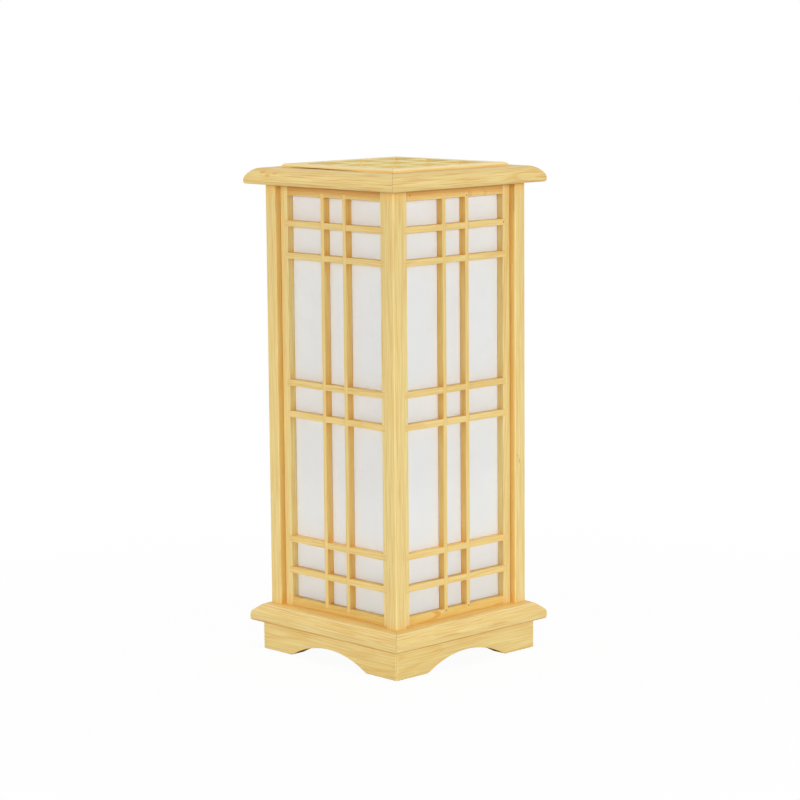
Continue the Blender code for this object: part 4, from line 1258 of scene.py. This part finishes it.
ground = bpy.data.meshes.new("floor")
disc = bmesh.new()
bmesh.ops.create_circle(disc, cap_ends=True, segments=96, radius=FLOOR_RADIUS)
disc.to_mesh(ground)
disc.free()
floor = bpy.data.objects.new("floor", ground)
bpy.context.scene.collection.objects.link(floor)
white = bpy.data.materials.new("white_floor")
white.use_nodes = True
tree = white.node_tree
tree.nodes.clear()
place = node_in(tree, "ShaderNodeTexCoord").outputs["Object"]
away = vector_in(tree, "LENGTH", place)
lit = math_in(tree, "MULTIPLY", share_in(tree, away, *NEAR_FLOOR, NEAR_GLOW, 1.0), seen_in(tree))
paint = node_in(tree, "ShaderNodeBsdfDiffuse", {"Color": FLOOR_GREY})
glow = node_in(tree, "ShaderNodeEmission", {"Color": WHITE, "Strength": 1.0})
both = node_in(tree, "ShaderNodeMixShader", {0: lit, 1: paint.outputs[0], 2: glow.outputs[0]})
node_in(tree, "ShaderNodeOutputMaterial", {"Surface": both.outputs[0]})
ground.materials.append(white)


# Light: a white sky that lights weakly, three low lamps in front, one above and two weak ones behind.
# Each lamp has a name, an azimuth and an elevation in degrees, a strength and a colour.

SKY_STRENGTH = 0.34
LAMP_ANGLE = math.radians(4)
LAMPS = (
    ("left_lamp", 1.0, 9, 0.88, (1, 1, 1)), ("middle_lamp", 47, 12, 0.51, (1, 1, 1)),
    ("right_lamp", 90.3, 9, 1.05, (0.985, 1.015, 1.05)), ("top_lamp", 46, 80, 0.78, (1, 1, 1)),
    ("back_lamp", 183, 14, 0.50, (1, 1, 1)), ("far_lamp", 269, 14, 0.50, (1, 1, 1)))
world = bpy.data.worlds.new("sky")
bpy.context.scene.world = world
world.use_nodes = True
tree = world.node_tree
tree.nodes.clear()
sky = node_in(tree, "ShaderNodeBackground", {"Color": WHITE, "Strength": SKY_STRENGTH})
backdrop = node_in(tree, "ShaderNodeBackground", {"Color": WHITE, "Strength": 1.0})
both = node_in(tree, "ShaderNodeMixShader", {0: seen_in(tree), 1: sky.outputs[0], 2: backdrop.outputs[0]})
node_in(tree, "ShaderNodeOutputWorld", {"Surface": both.outputs[0]})
for name, azimuth, elevation, strength, colour in LAMPS:
    light = bpy.data.lights.new(name, "SUN")
    light.angle = LAMP_ANGLE
    light.energy = strength
    light.color = colour
    lamp = bpy.data.objects.new(name, light)
    lamp.rotation_euler = (math.radians(90 - elevation), 0, math.radians(azimuth))
    bpy.context.scene.collection.objects.link(lamp)


# Camera: the view of the photo, fitted to the lamp's edges, with the colours left as they are rendered.

AZIMUTH = math.radians(45.863)
ELEVATION = math.radians(8.516)
ROLL = math.radians(-0.474)
DISTANCE = 2.467778
AIM_HEIGHT = 0.238684
AIM_RIGHT = 0.003112
FOCAL_PIXELS = 2618.534
IMAGE_PIXELS = 800
SENSOR_WIDTH = 36
VIEW_END = 200
outward = Vector((math.sin(AZIMUTH), -math.cos(AZIMUTH), 0))
back = outward * math.cos(ELEVATION) + Vector((0, 0, math.sin(ELEVATION)))
right = Vector((math.cos(AZIMUTH), math.sin(AZIMUTH), 0))
up = back.cross(right)
target = right * AIM_RIGHT + Vector((0, 0, AIM_HEIGHT))
tilted_right = right * math.cos(ROLL) + up * math.sin(ROLL)
tilted_up = up * math.cos(ROLL) - right * math.sin(ROLL)
facing = Matrix((tilted_right, tilted_up, back)).transposed().to_4x4()
lens = bpy.data.cameras.new("camera")
lens.sensor_width = SENSOR_WIDTH
lens.lens = FOCAL_PIXELS / IMAGE_PIXELS * SENSOR_WIDTH
lens.clip_end = VIEW_END
camera = bpy.data.objects.new("camera", lens)
camera.matrix_world = Matrix.Translation(target + back * DISTANCE) @ facing
bpy.context.scene.collection.objects.link(camera)
bpy.context.scene.camera = camera
bpy.context.scene.view_settings.view_transform = "Standard"
